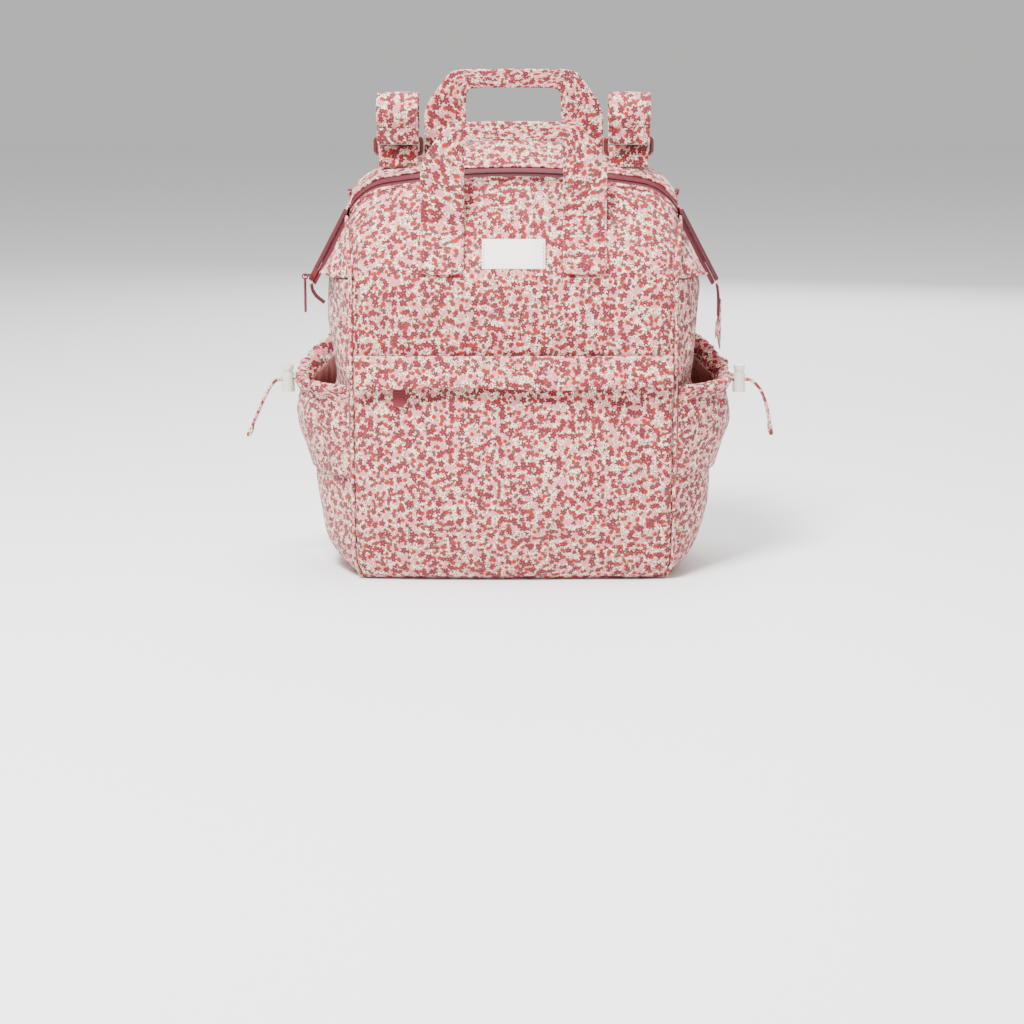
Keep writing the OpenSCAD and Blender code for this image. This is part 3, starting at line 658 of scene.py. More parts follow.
for s, side in ((-1, "left"), (1, "right")):
    low = np.array([front_point(np.array(s), z) for z in np.linspace(2, 298, 60) * mm])
    upper = np.array([mouth_point(np.array(s), w) for w in np.linspace(0.02, 0.98, 24)])
    seam = np.vstack([low, upper]) + np.array([2.2 * s, 1.0, 0]) * mm
    grid = rumple(swept(seam, oval(3.6 * mm, 4.6 * mm, 10), (1, 0, 0)), 0.7 * mm, 14 * mm, 1.0)
    ridge = closed("front_seam_" + side, grid)
    bend_front(ridge)
    upper = np.array([rear_point(np.array(s), w) for w in np.linspace(0.04, 1.0, 24)])
    seam = np.vstack([low * (1, -1, 1), upper]) + np.array([2.2 * s, -1.0, 0]) * mm
    grid = rumple(swept(seam, oval(4.4 * mm, 4.4 * mm, 10), (1, 0, 0)), 0.9 * mm, 14 * mm, 2.0)
    ridge = closed("rear_seam_" + side, grid)
    bend_rear(ridge)


# ---- Base ----------------------------------------------------------------------------------------
# A flat printed panel under the bag, stiffened by a loose board that lies on it inside.
def outline(z, inset=0.0):
    """A ring round the bag's walls at a height."""
    f = np.linspace(-1, 1, 21)[:-1]
    around = [front_point(f, z), side_point(1, f, z), front_point(f, z) * (-1, -1, 1), side_point(-1, -f, z)]
    return np.concatenate(around) * (1 - inset / 0.150, 1 - inset / 0.080, 1)


rings = [outline(4 * mm, -0.0002), outline(1.2 * mm, 0.0), outline(0.3 * mm, 0.003), outline(0.0, 0.008)]
rings += [rings[-1] * (k, k, 1) for k in (0.85, 0.6, 0.35, 0.1)]
base = cloth("base_cloth", np.array(rings), (0, 0, -1), wrap=True, caps=True)
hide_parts("base_panel")
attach(base, "bag_body")
board, shader, _, drift = dyed("grey_board", 0.8, (0.50, 0.48, 0.45), (0.42, 0.40, 0.38), 120.0)
bump(shader, drift, 0.0003)


def dress(node, finish):
    """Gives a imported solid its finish."""
    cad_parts[node].data.materials.clear()
    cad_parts[node].data.materials.append(finish)


dress("base_board", board)

# ---- Zip -----------------------------------------------------------------------------------------
# Rose woven tapes with a plum nylon coil. The arch opens with the mouth; the slopes stay shut on the
# body, and a loose tail hangs off each end, the right one finished with a folded tab of the print.
def woven(place, across, along):
    """Fine yarns that cross each other, as waves over the cloth."""
    grain = place.node("SeparateXYZ", sockets={0: place})
    return (grain * across).math("SINE") * (grain.other("Y") * along).math("SINE")


tape, shader, place, _ = dyed("zip_tape", 0.65, (0.36, 0.065, 0.12), (0.30, 0.045, 0.10), 60.0, "cloth")
bump(shader, woven(place, 5200.0, 2600.0), 0.00012, 0.5)
nylon, shader, _, drift = dyed("plum_nylon", 0.38, (0.34, 0.08, 0.13), (0.27, 0.05, 0.10), 400.0,
                               Coat_Weight=0.2)
bump(shader, drift, 0.0001, 0.3)


def coil(name, line, across, width, body, pitch=1.5 * mm):
    """One side of a zip's coil: close loops of nylon along a line, each lying across the tape."""
    line = np.asarray(line)
    far = distances(line)
    near = 0.3 * mm
    points, faces = [], []
    for begin in np.arange(pitch / 2, far[-1], pitch):
        spot = place_at(line, far, begin)
        ahead = (place_at(line, far, begin + near) - place_at(line, far, begin - near)).normalized()
        wide = Vector(across)
        wide = (wide - ahead * wide.dot(ahead)).normalized()
        up = ahead.cross(wide)
        faces += tube_faces(len(points), 4, 6)
        for reach_out, size in ((-0.5, 0.55), (-0.2, 1), (0.2, 1), (0.5, 0.55)):
            for a in (0.5, 1.5, 2.5, 3.5, 4.5, 5.5):
                turn = a * math.pi / 3
                points.append(spot + wide * reach_out * width + ahead * math.cos(turn) * 0.36 * pitch * size
                              + up * math.sin(turn) * 0.62 * mm * size)
    mesh = bpy.data.meshes.new(name)
    mesh.from_pydata([tuple(p) for p in points], [], faces)
    piece = add_piece(name, mesh, nylon)
    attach(piece, body)
    return piece


x = np.linspace(-half_top, half_top, 101)
for side, half, body in ((-1, "front", "mouth_front"), (1, "rear", "mouth_rear")):
    rows = [np.stack([x, mouth_y + side * (0.8 * mm + q * (reach - 0.8 * mm)) + 0 * x,
                      arch_z(x) + side * fall * q + 0.3 * mm], -1) for q in np.linspace(0, 1, 6)]
    strip = cloth(half + "_tape", np.array(rows), (0, 0, 1), finish=tape, inside=tape)
    thicken(strip, 0.8 * mm, backed=False)
    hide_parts(half + "_zip_tape")
    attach(strip, body)
    line = np.stack([x, mouth_y + side * 1.55 * mm + 0 * x, arch_z(x) + 0.9 * mm + side * 0.2 * mm], -1)
    coil(half + "_coil", line, (0, 1, 0.5 * side), 2.5 * mm, body)


def slope_point(run, q, side):
    """On the straight slope: a distance down it, and q across the tape (minus is the front)."""
    down = np.array([math.cos(slope), 0, -math.sin(slope)])
    out = np.array([math.sin(slope), 0, math.cos(slope)])
    spot = np.array([slope_x, mouth_y, slope_z]) + down * run + np.array([0, q * math.cos(tilt), 0])
    return (spot + out * (q * math.sin(tilt) + 0.3 * mm)) * (side, 1, 1)


def curve_through(points, count):
    """An even run of points on a smooth curve through the given ones."""
    p = np.asarray(points, float)
    p = np.vstack([2 * p[0] - p[1], p, 2 * p[-1] - p[-2]])
    t = np.linspace(0, 1, 24, endpoint=False)[:, None]
    fine = [0.5 * (2 * b + (c - a) * t + (2 * a - 5 * b + 4 * c - d) * t**2 + (3 * b - a - 3 * c + d) * t**3)
            for a, b, c, d in zip(p, p[1:], p[2:], p[3:])]
    fine = np.vstack(fine + [p[-2:-1]])
    far = np.r_[0, np.cumsum(np.linalg.norm(np.diff(fine, axis=0), axis=1))]
    at = np.linspace(0, far[-1], count)
    return np.stack([np.interp(at, far, fine[:, k]) for k in range(p.shape[1])], 1)


def sized(grid, scale):
    """Rings made bigger or smaller about their own middles."""
    centre = grid.mean(1, keepdims=True)
    return centre + (grid - centre) * scale


slope_end = slope_point(80 * mm, 0, 1)
tails = {"right": (((203, 2.2), (204.4, 11.7), (204.8, 21.7), (204.8, 33.7)), 1),
         "left": (((-202, 2.2), (-200.6, 8.7), (-196.5, 14.7), (-189, 20.7)), -1)}
for s, side in ((-1, "left"), (1, "right")):
    for q_in, q_out, start, half in ((0.8, 10, 0, "rear"), (-0.8, -10, 7, "front")):
        rows = [[slope_point(run * mm, q * mm, s) for run in np.linspace(start, 80, 20)]
                for q in np.linspace(q_in, q_out, 5)]
        strip = cloth("slope_tape_" + half + "_" + side, np.array(rows), (s, 0, 1), finish=tape, inside=tape)
        thicken(strip, 0.8 * mm, backed=False)
        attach(strip, "bag_body")
        if half == "rear" and s == 1:
            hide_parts("zip_slopes")
    for q, half in ((-1.25, "front"), (1.25, "rear")):
        line = [slope_point(run * mm, q * mm, s) + np.array([0.45 * s, 0, 0.3]) * mm
                for run in np.linspace(2, 79, 20)]
        coil("slope_coil_" + half + "_" + side, line, (0, 1, 0), 2.5 * mm, "bag_body")
    # The loose tail: the tape folded shut on its coil
    drop, sign = tails[side]
    route = curve_through([(p[0] * mm, mouth_y, slope_end[2] - p[1] * mm) for p in drop], 22)
    grid = swept(route, oval(18 * mm, 2.0 * mm, 16, 0.5), (0, 1, 0))
    tail = closed("zip_tail_" + side + "_cloth", grid, tape)
    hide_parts("zip_tail_" + side)
    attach(tail, "bag_body")
    for q in (-1.25, 1.25):
        coil("tail_coil_" + ("a_" if q < 0 else "b_") + side,
             route[1:-1] + np.array([1.05 * s, q, 0]) * mm, (0, 1, 0), 2.5 * mm, "bag_body")
# The end tab: its rings are drawn in a little at both ends
tab_drop = ((204.8, 32.5), (205.2, 45.7), (205, 57.5))
route = curve_through([(x * mm, mouth_y, slope_end[2] - z * mm) for x, z in tab_drop], 18)
full = np.array([0.75, 1] + [1] * 13 + [0.97, 0.9, 0.72])
scale = np.stack([5 * mm * full, 8 * mm * (1 + full), np.ones(18)], -1)[:, None]
end_tab = closed("end_tab_cloth", sized(swept(route, oval(1, 1, 20, 0.45), (0, 1, 0)), scale))
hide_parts("zip_end_tab")
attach(end_tab, "bag_body")
lines = [[(x * mm, mouth_y + y * mm, slope_end[2] - 37 * mm) for y in np.linspace(-6.5, 6.5, 8)]
         for x in (202, 208)]
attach(topstitch("end_tab_stitching", lines, end_tab), "bag_body")

# Sliders and pull ring: small die-cast parts enamelled in the same plum, and the pull tabs of ribbed
# rose webbing stitched over them.
enamel, shader, _, drift = dyed("plum_enamel", 0.32, (0.40, 0.04, 0.07), (0.33, 0.03, 0.06), 160.0,
                                Coat_Weight=0.5, Coat_Roughness=0.15)
bump(shader, drift, 0.0001, 0.3)
for node in ("zip_slider", "zip_puller_ring", "pocket_slider", "ring_left", "ring_right", "adjuster_left",
             "adjuster_right"):
    dress(node, enamel)
rib, shader, place, _ = dyed("ribbed_webbing", 0.55, (0.48, 0.085, 0.14), (0.41, 0.065, 0.12), 120.0,
                             "cloth")
ribs = place.node("SeparateXYZ", sockets={0: place})
bump(shader, (ribs.other("Y") * 4200.0).math("SINE") + (ribs * 7000.0).math("SINE") * 0.4, 0.0004, 0.8)


def pull_tab(name, node, flat_axis, body):
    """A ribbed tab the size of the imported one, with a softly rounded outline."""
    low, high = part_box(node)
    mid, span = (low + high) / 2, high - low
    t = np.linspace(-1, 1, 30)
    path = np.stack([mid.x + 0 * t, mid.y + 0 * t, mid.z - 0.6 * mm - (span.z / 2 - 0.9 * mm) * t], -1)
    rounding = 1 - 0.45 * np.clip((np.abs(t) - 0.86) / 0.14, 0, 1)**2.2
    wide = max(span.x, span.y) * rounding
    thin = min(span.x, span.y) * 0.9 * (0.9 + 0.1 * rounding)
    if flat_axis == "y":
        side, scale = (1, 0, 0), (wide, thin, np.ones(30))
    else:
        side, scale = (0, 1, 0), (thin, wide, np.ones(30))
    grid = sized(swept(path, oval(1, 1, 20, 0.4), side), np.stack(scale, -1)[:, None])
    tab = closed(name, grid, rib)
    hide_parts(node)
    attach(tab, body)
    return tab


pull_tab("zip_pull_tab", "zip_puller_tab", "x", "zip_tab")
pull_tab("pocket_pull_tab", "pocket_puller", "y", "pocket_puller")


# ---- Mouth ears ----------------------------------------------------------------------------------
# Triangles of the print outside the corner seams. They are sewn along the slope of the zip.
tip = 192.5 * mm
ear_foot = 303 * mm
p = np.linspace(0, 1, 25)
tape_front, tape_rear = mouth_y - reach + 0.8 * mm, mouth_y + reach - 0.8 * mm


def finish_ear(name, grid, facing):
    """Makes an ear of the print, thickened, with its placement baked into its mesh."""
    ear = cloth(name, grid, facing)
    thicken(ear, 1.8 * mm)
    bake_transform(ear)
    return ear


for s, side in ((-1, "left"), (1, "right")):
    rows = []
    for w in np.linspace(0, 1, 17):
        root = (seam_x + (half_top - seam_x) * w) + 0.6 * mm
        x = root + (tip - root) * p
        foot = ear_foot + (2 * p - 3 * np.sin(np.pi * p)) * mm
        low = np.stack([s * x, (-81 + 31 * p**0.7) * mm, foot], -1)
        top = np.stack([s * (x - 2 * mm), tape_front + 0 * x, arch_z(x) - fall - 0.2 * mm], -1)
        rows.append(low + (top - low) * w - np.array([0, 1, 0]) * 3 * mm * np.sin(np.pi * w))
    grid = rumple(np.array(rows), 1.6 * mm, 22 * mm, 9.0 + s)
    ear = finish_ear("front_ear_" + side, grid, (s * 0.3, -1, 0))
    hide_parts("mouth_ear_" + side)
    rows = []
    for w in np.r_[np.linspace(0, 1, 17), np.linspace(1.08, 2, 11)]:
        root = (seam_x + (half_top - seam_x) * min(w, 1)) + 0.6 * mm
        x = root + (tip - root) * p
        foot = ear_foot + 3 * mm * p
        ridge = arch_z(x) + 13 * mm * (1 - p)
        low_y = (81 - 31 * p**0.8) * mm
        high_y = mouth_y + (38 - 20 * p) * mm
        if w <= 1:
            rows.append(np.stack([s * x, low_y + (high_y - low_y) * w, foot + (ridge - foot) * w], -1))
        else:
            rows.append(np.stack([s * (x + (w - 1) * mm), high_y + (tape_rear - high_y) * (w - 1),
                                  ridge + (arch_z(x) + 3.6 * mm - ridge) * (w - 1)], -1))
    grid = rumple(np.array(rows), 1.6 * mm, 22 * mm, 12.0 + s)
    finish_ear("rear_ear_" + side, grid, (s * 0.3, 1, 0.3))


# ---- Gusset folds --------------------------------------------------------------------------------
# The soft top of each side, tucked inwards under the slopes like a bellows, in the print outside.
def fold_point(s, v, w):
    """On a fold: w from 0 at the top of the side to 1 at the tip, tucked in under the slope."""
    rows = np.array([side_point(s, v, 299.4 * mm) - np.array([3 * s, 0, 0]) * mm,
                     np.array([143 * s, 76 * v, 304]) * mm,
                     np.array([141 * s, -9 + (60 * v + 9) * 0.8, 345]) * mm,
                     np.array([141 * s, -14 + 16 * v, 374]) * mm])
    return np.array([np.interp(w, (0, 0.25, 0.7, 1), rows[:, k]) for k in range(3)])


for s, side in ((-1, "left"), (1, "right")):
    for half, name in (((-0.86, 0.0), "front"), ((0.0, 0.86), "rear")):
        grid = np.array([[fold_point(s, v, w) for v in np.linspace(*half, 17)]
                         for w in np.linspace(0, 1, 21)])
        ripple = np.sin(np.linspace(0, 3 * np.pi, 21))[:, None] * (grid[:, :, 2] > 306 * mm)
        grid[:, :, 0] += s * 1.8 * mm * ripple
        fold = cloth("gusset_fold_" + name + "_" + side, grid, (s, 0, 0.3))
        thicken(fold, 1.6 * mm)
        sign = -1 if name == "front" else 1
        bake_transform(fold)
        if s == 1 and name == "front":
            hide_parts("gusset_folds")


# ---- Inside --------------------------------------------------------------------------------------
# A sewn-in tub of the spotted lining down to the board, and a slip pocket on its back wall.
def tub(z, inset):
    """A ring of the inside wall at a height."""
    ring = outline(z)
    away = ring - np.array([0, 0, z])
    far = np.linalg.norm(away[:, :2], axis=1, keepdims=True)
    return ring - np.concatenate([away[:, :2] / far, np.zeros((len(ring), 1))], 1) * inset


levels = np.r_[np.linspace(6, 60, 7), np.linspace(70, 297, 24)]
rings = np.array([tub(z * mm, 8.5 * mm) for z in levels])
rings = rumple(rings, 1.2 * mm, 30 * mm, 3.0)
rings = np.concatenate([rings[:1] * (k, k, 1) for k in (0.02, 0.35, 0.7, 0.93)] + [rings])
walls = cloth("lining_tub", rings, None, wrap=True, finish=lining)
walls.data.flip_normals()
thicken(walls, 0.8 * mm, backed=False)
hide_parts("main_lining")
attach(walls, "bag_body")
slip_half, slip_top = 110 * mm, 206 * mm
across = np.linspace(-slip_half, slip_half, 41)
rows = []
for z in np.linspace(60 * mm, slip_top, 22):
    gather = 2.2 * mm * np.sin(across * 190) * (z / slip_top)**3
    sag = 6 * mm * (1 - (across / slip_half)**2) * (z / slip_top)**2
    rows.append(np.stack([across, 66 * mm - sag + gather, z + 0 * across], -1))
slip = cloth("slip_pocket", np.array(rows), (0, -1, 0), finish=lining)
thicken(slip, 1.2 * mm, backed=False)
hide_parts("inner_pocket")
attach(slip, "bag_body")


# ---- Front pocket --------------------------------------------------------------------------------
# A puffed patch pocket across the whole front, shut by a zip under a stitched flap.
pocket_fill = np.array([(0, 0.3), (40, 0.9), (80, 1), (120, 0.9), (160, 0.35), (200, 0.2)]) * (mm, 1)


def pouch_point(u, z):
    """On the pocket: u from -1 to 1 between its seams, z its height."""
    full = read(pocket_fill, z, 0.21, 211, 9)
    swell = 3 + (11 * full - 2) * (1 - u * u)
    return front_point(u, z) - np.stack([0 * u, swell * mm, 0 * u], -1)


u = np.linspace(-0.995, 0.995, 101)
pouch_grid = np.array([pouch_point(u, z) for z in np.linspace(3.2, 204, 66) * mm])
pouch_grid[:, :, 1] += pinched(u, seam_x, 4 * mm, 2.2 * mm)
pouch_grid = rumple(pouch_grid, 2.6 * mm, 58 * mm, 21.0, (0, 1, 0), between_seams(u, 7))
pouch = cloth("front_pocket", pouch_grid, (0, -1, 0))
settle(pouch, borders(pouch_grid, 2), growth=0.014, cap=4 * mm)
thicken(pouch, 2 * mm)
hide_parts("front_pocket_panel")
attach(pouch, "bag_body")
lines = [pouch_point(np.linspace(-0.985, 0.985, 160), 8.5 * mm) - np.array([0, 3, 0]) * mm]
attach(topstitch("pocket_stitching", lines, pouch), "bag_body")

# The pocket's own zip: two tapes and a closed coil
for low, high, name in ((204.2, 211.2, "lower"), (212.8, 219.8, "upper")):
    x = np.linspace(-137, 137, 50) * mm
    rows = [np.stack([x, -94.5 * mm + 0 * x, z * mm + 0 * x], -1) for z in np.linspace(low, high, 4)]
    strip = cloth("pocket_tape_" + name, np.array(rows), (0, -1, 0), finish=tape, inside=tape)
    thicken(strip, 0.8 * mm, backed=False)
    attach(strip, "bag_body")
    if name == "upper":
        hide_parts("pocket_zip_tapes")
    coil_z = slider_z + (-1.2 if name == "lower" else 1.2) * mm
    line = [(k * mm, -95.2 * mm, coil_z) for k in (-136, 0, 136)]
    coil("pocket_coil_" + name, line, (0, 0, 1), 2.5 * mm, "bag_body")

# The flap over that zip, double cloth, with its topstitching
flap_shape = np.array([(-93.6, 228), (-95.6, 227.6), (-98.0, 226), (-100.2, 222.6), (-101.5, 219),
                       (-104.6, 209), (-106.6, 198)])
u = np.linspace(-1, 1, 91)
fine = curve_through(flap_shape, 20)
sway = 2.5 * np.sin(2.6 * u + 0.9)**2
flap_grid = np.array([np.stack([u * 156, y + 3 * u * u, z - sway * k / 19], -1)
                      for k, (y, z) in enumerate(fine)]) * mm
flap_grid = rumple(flap_grid, 2.2 * mm, 42 * mm, 31.0, (0, 1, 0), np.linspace(0, 1, 20)[:, None]**0.7)
flap = cloth("pocket_flap_cloth", flap_grid, (0, -1, 0), inside=cotton)
thicken(flap, 2 * mm)
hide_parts("pocket_flap")
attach(flap, "bag_body")
lines = [flap_grid[row, 2:-2] - np.array([0, 2, 0]) * mm for row in (5, -3)]
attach(topstitch("flap_stitching", lines, flap), "bag_body")


# ---- Side pockets --------------------------------------------------------------------------------
# Flared pockets of the print, lined in rose. A drawcord gathers the hem into small pleats.
def rim_z(v):
    """Height of a side pocket's hem, which rises towards the back."""
    return (192 + 44 * np.maximum(0, v)**1.5) * mm


def pocket_point(s, v, w, out=0.0):
    """On a side pocket: w from 0 at its foot to 1 at its hem, where it flares."""
    foot = 104 * mm
    flare = (3.4 + 30 * w**0.75 * (1 - np.abs(v)**2.5)) * mm
    return side_point(s, v, foot + (rim_z(v) - foot) * w, flare + out)


# The hem: out over the cord channel, round the top, and down inside, as (w, out, depth of pleats)
hem_turn = ((0.885, -0.5, 0.9), (0.91, 1.8, 1.2), (0.94, 4.8, 1.7), (0.97, 6.8, 2.1), (1.0, 7.6, 2.4),
            (1.03, 7.4, 2.5), (1.055, 5.6, 2.3), (1.065, 3.2, 2.0), (1.06, 0.8, 2.0), (1.03, -1.2, 2.0),
            (0.99, -2.2, 1.8), (0.93, -2.6, 1.4), (0.86, -2.4, 1.0))
v = np.linspace(-0.985, 0.985, 181)
for s, side in ((-1, "left"), (1, "right")):
    free = between_seams(v, 9)
    pleat = np.array([noise.noise(Vector((k * 13.0, 5.0 * s, 0))) for k in v]) * 1.5
    pleat += np.sin(v * 58 + 2 * np.sin(v * 9))
    sway = np.array([noise.noise(Vector((k * 7.0, 9.0 * s, 3.0))) for k in v])
    rows = []
    for w in np.linspace(0, 0.86, 24):
        rows.append(pocket_point(s, v, w, (1.5 * pleat * w**5 + 2.6 * sway * w) * mm * free))
    for w, out, deep in hem_turn:
        rows.append(pocket_point(s, v, w, (out + deep * pleat * 0.9 + 2.6 * sway) * mm * free))
    grid = rumple(np.array(rows), 1.5 * mm, 18 * mm, 41 + s, (1, 0, 0), free)
    pocket = cloth("side_pocket_" + side + "_cloth", grid, (s, 0, 0), inside=cotton)
    settle(pocket, borders(grid, 1), growth=0.010, cap=3 * mm)
    thicken(pocket, 1.4 * mm)
    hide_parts("side_pocket_" + side, "pocket_hem_" + side)
    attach(pocket, "bag_body")
    rows = [pocket_point(s, v, w, (-3.6 + 0.8 * pleat * w**3 + 2.6 * sway * w) * mm * free)
            for w in np.linspace(0.02, 0.92, 20)]
    inner = cloth("side_lining_" + side, np.array(rows), (s, 0, 0), finish=lining)
    thicken(inner, 0.8 * mm, backed=False)
    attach(inner, "bag_body")
    # The wall of the bag inside the pocket is lined too
    rows = [side_point(s, v[::3], z, 2.6 * mm) for z in np.linspace(106, 182, 12) * mm]
    backing = cloth("side_backing_" + side, np.array(rows), (s, 0, 0), finish=lining)
    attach(backing, "bag_body")
    line = [pocket_point(s, k, 0.865, 4 * mm) for k in v[4:-4]]
    low_line = [pocket_point(s, k, 0.02, 4 * mm) for k in v[3:-3]]
    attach(topstitch("side_stitching_" + side, [line, low_line], pocket), "bag_body")

# ---- Drawcords -----------------------------------------------------------------------------------
# Narrow bias tubes of the print, doubled. Each runs inside the hem, out through a toggle, and hangs.
for s, side in ((-1, "left"), (1, "right")):
    route = [pocket_point(s, k, 1, 4 * mm) for k in np.linspace(-0.96, 0.96, 60)]
    grid = swept(route, oval(4.2 * mm, 4.2 * mm, 10), (0, 0, 1))
    run = closed("hem_cord_" + side, grid)
    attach(run, "bag_body")
    if s == 1:
        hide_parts("pocket_cords")
tail_routes = {
    "left": ((-222, 192), (-231, 192), (-239.8, 191.8), (-246, 186), (-252, 176), (-258, 163), (-263, 152),
             (-266.5, 143.5)),
    "right": ((222, 192), (231, 192), (239.8, 191.8), (246, 187.5), (252, 179.5), (256.5, 168), (259.5, 156),
              (261, 146)),
}
for side, flat_route in tail_routes.items():
    route = curve_through([(x * mm, -8 * mm, z * mm) for x, z in flat_route], 60)
    angle = np.linspace(0, 2 * np.pi, 24, endpoint=False)
    groove = 1 - 0.55 * np.exp(-(np.cos(angle) / 0.28)**2)
    loop = np.stack([np.cos(angle) * 3.6 * mm, np.sin(angle) * 1.9 * mm * groove], -1)
    grid = swept(route, loop, (0, 1, 0))
    tail = closed("drawcord_" + side, grid)
    ahead = (route[-1] - route[-2]) / np.linalg.norm(route[-1] - route[-2])
    end_route = [route[-1] + ahead * k * mm for k in np.linspace(-1.2, 10.8, 9)]
    knot = sized(swept(end_route, oval(9.4 * mm, 5 * mm, 16, 0.5), (0, 1, 0)),
                 np.array([0.72, 0.92, 1, 1, 0.98, 1, 1, 0.92, 0.7])[:, None, None])
    cord_end = closed("drawcord_end_" + side, rumple(knot, 0.4 * mm, 6 * mm, 1.0))
    for piece in (tail, cord_end):
        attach(piece, "bag_body")
    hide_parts("cord_tail_" + side)
    if side == "left":
        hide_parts("cord_ends")

# ---- Toggles -------------------------------------------------------------------------------------
# Spring toggles of milky translucent plastic that pinch the drawcords.
milky, shader, _, drift = dyed("milky_plastic", 0.28, (0.95, 0.93, 0.90), (0.90, 0.87, 0.83), 90.0,
                               Transmission_Weight=0.25, Subsurface_Weight=0.3, Subsurface_Scale=0.004)
bump(shader, drift, 0.0001, 0.3)
steel = dyed("spring_steel", 0.3, (0.75, 0.75, 0.76), (0.66, 0.66, 0.68), 200.0, Metallic=1.0)[0]
for side in ("left", "right"):
    dress("lock_body_" + side, milky)
    dress("lock_button_" + side, milky)
    low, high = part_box("lock_spring_" + side)
    turn = np.linspace(0, 4.5, 110)
    rise = np.clip((turn - 0.4) / 3.7, 0, 1)
    coil_r = 2.7 * mm
    line = np.stack([(low.x + high.x) / 2 + coil_r * np.cos(2 * np.pi * turn),
                     (low.y + high.y) / 2 + coil_r * np.sin(2 * np.pi * turn),
                     low.z + 0.4 * mm + (high.z - low.z - 0.8 * mm) * rise], -1)
    spring = closed("toggle_spring_" + side, swept(line, oval(0.7 * mm, 0.7 * mm, 8), (0, 0, 1)), steel)
    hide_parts("lock_spring_" + side)
    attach(spring, "lock_" + side)
    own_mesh(spring)


# ---- Carry handles -------------------------------------------------------------------------------
# Padded loops of the print, wide at the legs and folded narrow at the grip. The ends are sewn flat to
# the mouth halves.
def surface_y(base, side):
    """A reading of how far out a panel's surface is at a place on the front (-1) or the back (1)."""
    bpy.context.view_layer.update()
    tree = BVHTree.FromObject(base, bpy.context.evaluated_depsgraph_get())

    def read_y(x, z, fallback):
        hit = tree.ray_cast(Vector((x, side * 0.3, z)), Vector((0, -side, 0)))[0]
        return fallback if hit is None else hit.y
    return read_y


# The arch's outer and inner edges over the hinge, as (from the middle, up) in millimetres
outer = ((91, 0), (91, 15), (91, 30), (91, 45), (90.6, 56), (87, 67), (78, 80), (69, 92), (63, 98),
         (54, 100.2), (40, 100.6), (20, 100.8), (0, 101))
inner = ((48, 0), (48, 15), (48, 30), (48, 45), (48, 56), (48, 66), (47.6, 73), (46.6, 78), (44, 80.6),
         (38, 81.4), (28, 81.8), (14, 82), (0, 82))


leg_x, leg_half = 69.5 * mm, 21.5 * mm


def handle(name, side, base, tab_low, tab_top, hinge, level, nodes):
    """One handle, side -1 for the front. level is its depth, tab_* the (depth, height) of its ends."""
    read_y = surface_y(base, side)
    outer_edge, inner_edge = curve_through(outer, 45) * mm, curve_through(inner, 45) * mm
    loop = oval(2, 2, 28, 0.42)

    def ring(centre, outward, half, thick):
        wide, deep = np.outer(loop[:, 0], outward), np.outer(loop[:, 1], (0, 1, 0))
        return np.array(centre) + wide * half + deep * thick

    legs = []
    for s in (-1, 1):
        rings = []
        # The sewn end follows the panel under it and is drawn in at its foot
        for k, t in enumerate(np.linspace(0, 1, 14)):
            z = (tab_low[1] + (hinge - tab_low[1]) * t) * mm
            y = (tab_low[0] + (tab_top[0] - tab_low[0]) * t) * mm
            skin = read_y(s * leg_x, z, y - side * 2 * mm)
            if t < 0.9:
                y = side * max(side * y, side * skin + 2.2 * mm)
            half = leg_half * (0.86, 0.95, 0.985, 1)[min(k, 3)]
            rings.append(ring((s * leg_x, y, z), (s, 0, 0), half, (2.0 + 0.6 * t) * mm))
        # The free arch is thickest at the grip
        for out, near in zip(outer_edge[1:], inner_edge[1:]):
            middle, span = (out + near) / 2, out - near
            half = np.linalg.norm(span) / 2
            grip = np.clip((middle[1] / mm - 76) / 14, 0, 1)
            centre = (s * middle[0], level * mm, hinge * mm + middle[1])
            rings.append(ring(centre, np.array([s * span[0], 0, span[1]]) / (2 * half), half,
                              (2.6 + 1.2 * grip) * mm))
        legs.append(rings)
    # The second leg is joined on from the top down
    grid = rumple(np.array(legs[0] + legs[1][-2::-1]), 0.9 * mm, 20 * mm, 51.0 + side, (0, 1, 0))
    piece = closed(name, grid)
    soft = piece.modifiers.new("softness", "SUBSURF")
    soft.levels = soft.render_levels = 1
    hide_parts(*nodes)

    def over(z):
        """Just over the handle's face at a height in millimetres."""
        depth = np.interp(z, (tab_low[1], hinge, hinge + 50), (tab_low[0], level, level))
        return (depth + side * 3) * mm

    # Rows of the dark thread near each leg's edges: real topstitching, whose dark colour is also painted
    # shade along the edges.
    lines = []
    edge = 19.2 * mm
    for s in (-1, 1):
        for e in (-1, 1):
            lines.append([(s * leg_x + e * edge, over(z), z * mm)
                          for z in np.linspace(tab_low[1] + 4, hinge + 50, 40)])
        for z in (tab_low[1] + 4, tab_low[1] + 30, hinge - 4):
            lines.append([(s * leg_x + e * edge, over(z), z * mm) for e in np.linspace(-1, 1, 12)])
    sewing = topstitch(name + "_stitching", lines, piece)
    for part in (piece, sewing):
        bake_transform(part)


handle("front_carry_handle", -1, front, (-87.0, 306), (-66.6, 352), 352, -65.6,
       ("front_handle", "front_handle_tabs"))
handle("rear_carry_handle", 1, rear, (70.5, 355), (45.4, 400), 400, 44.7,
       ("rear_handle", "rear_handle_tabs"))


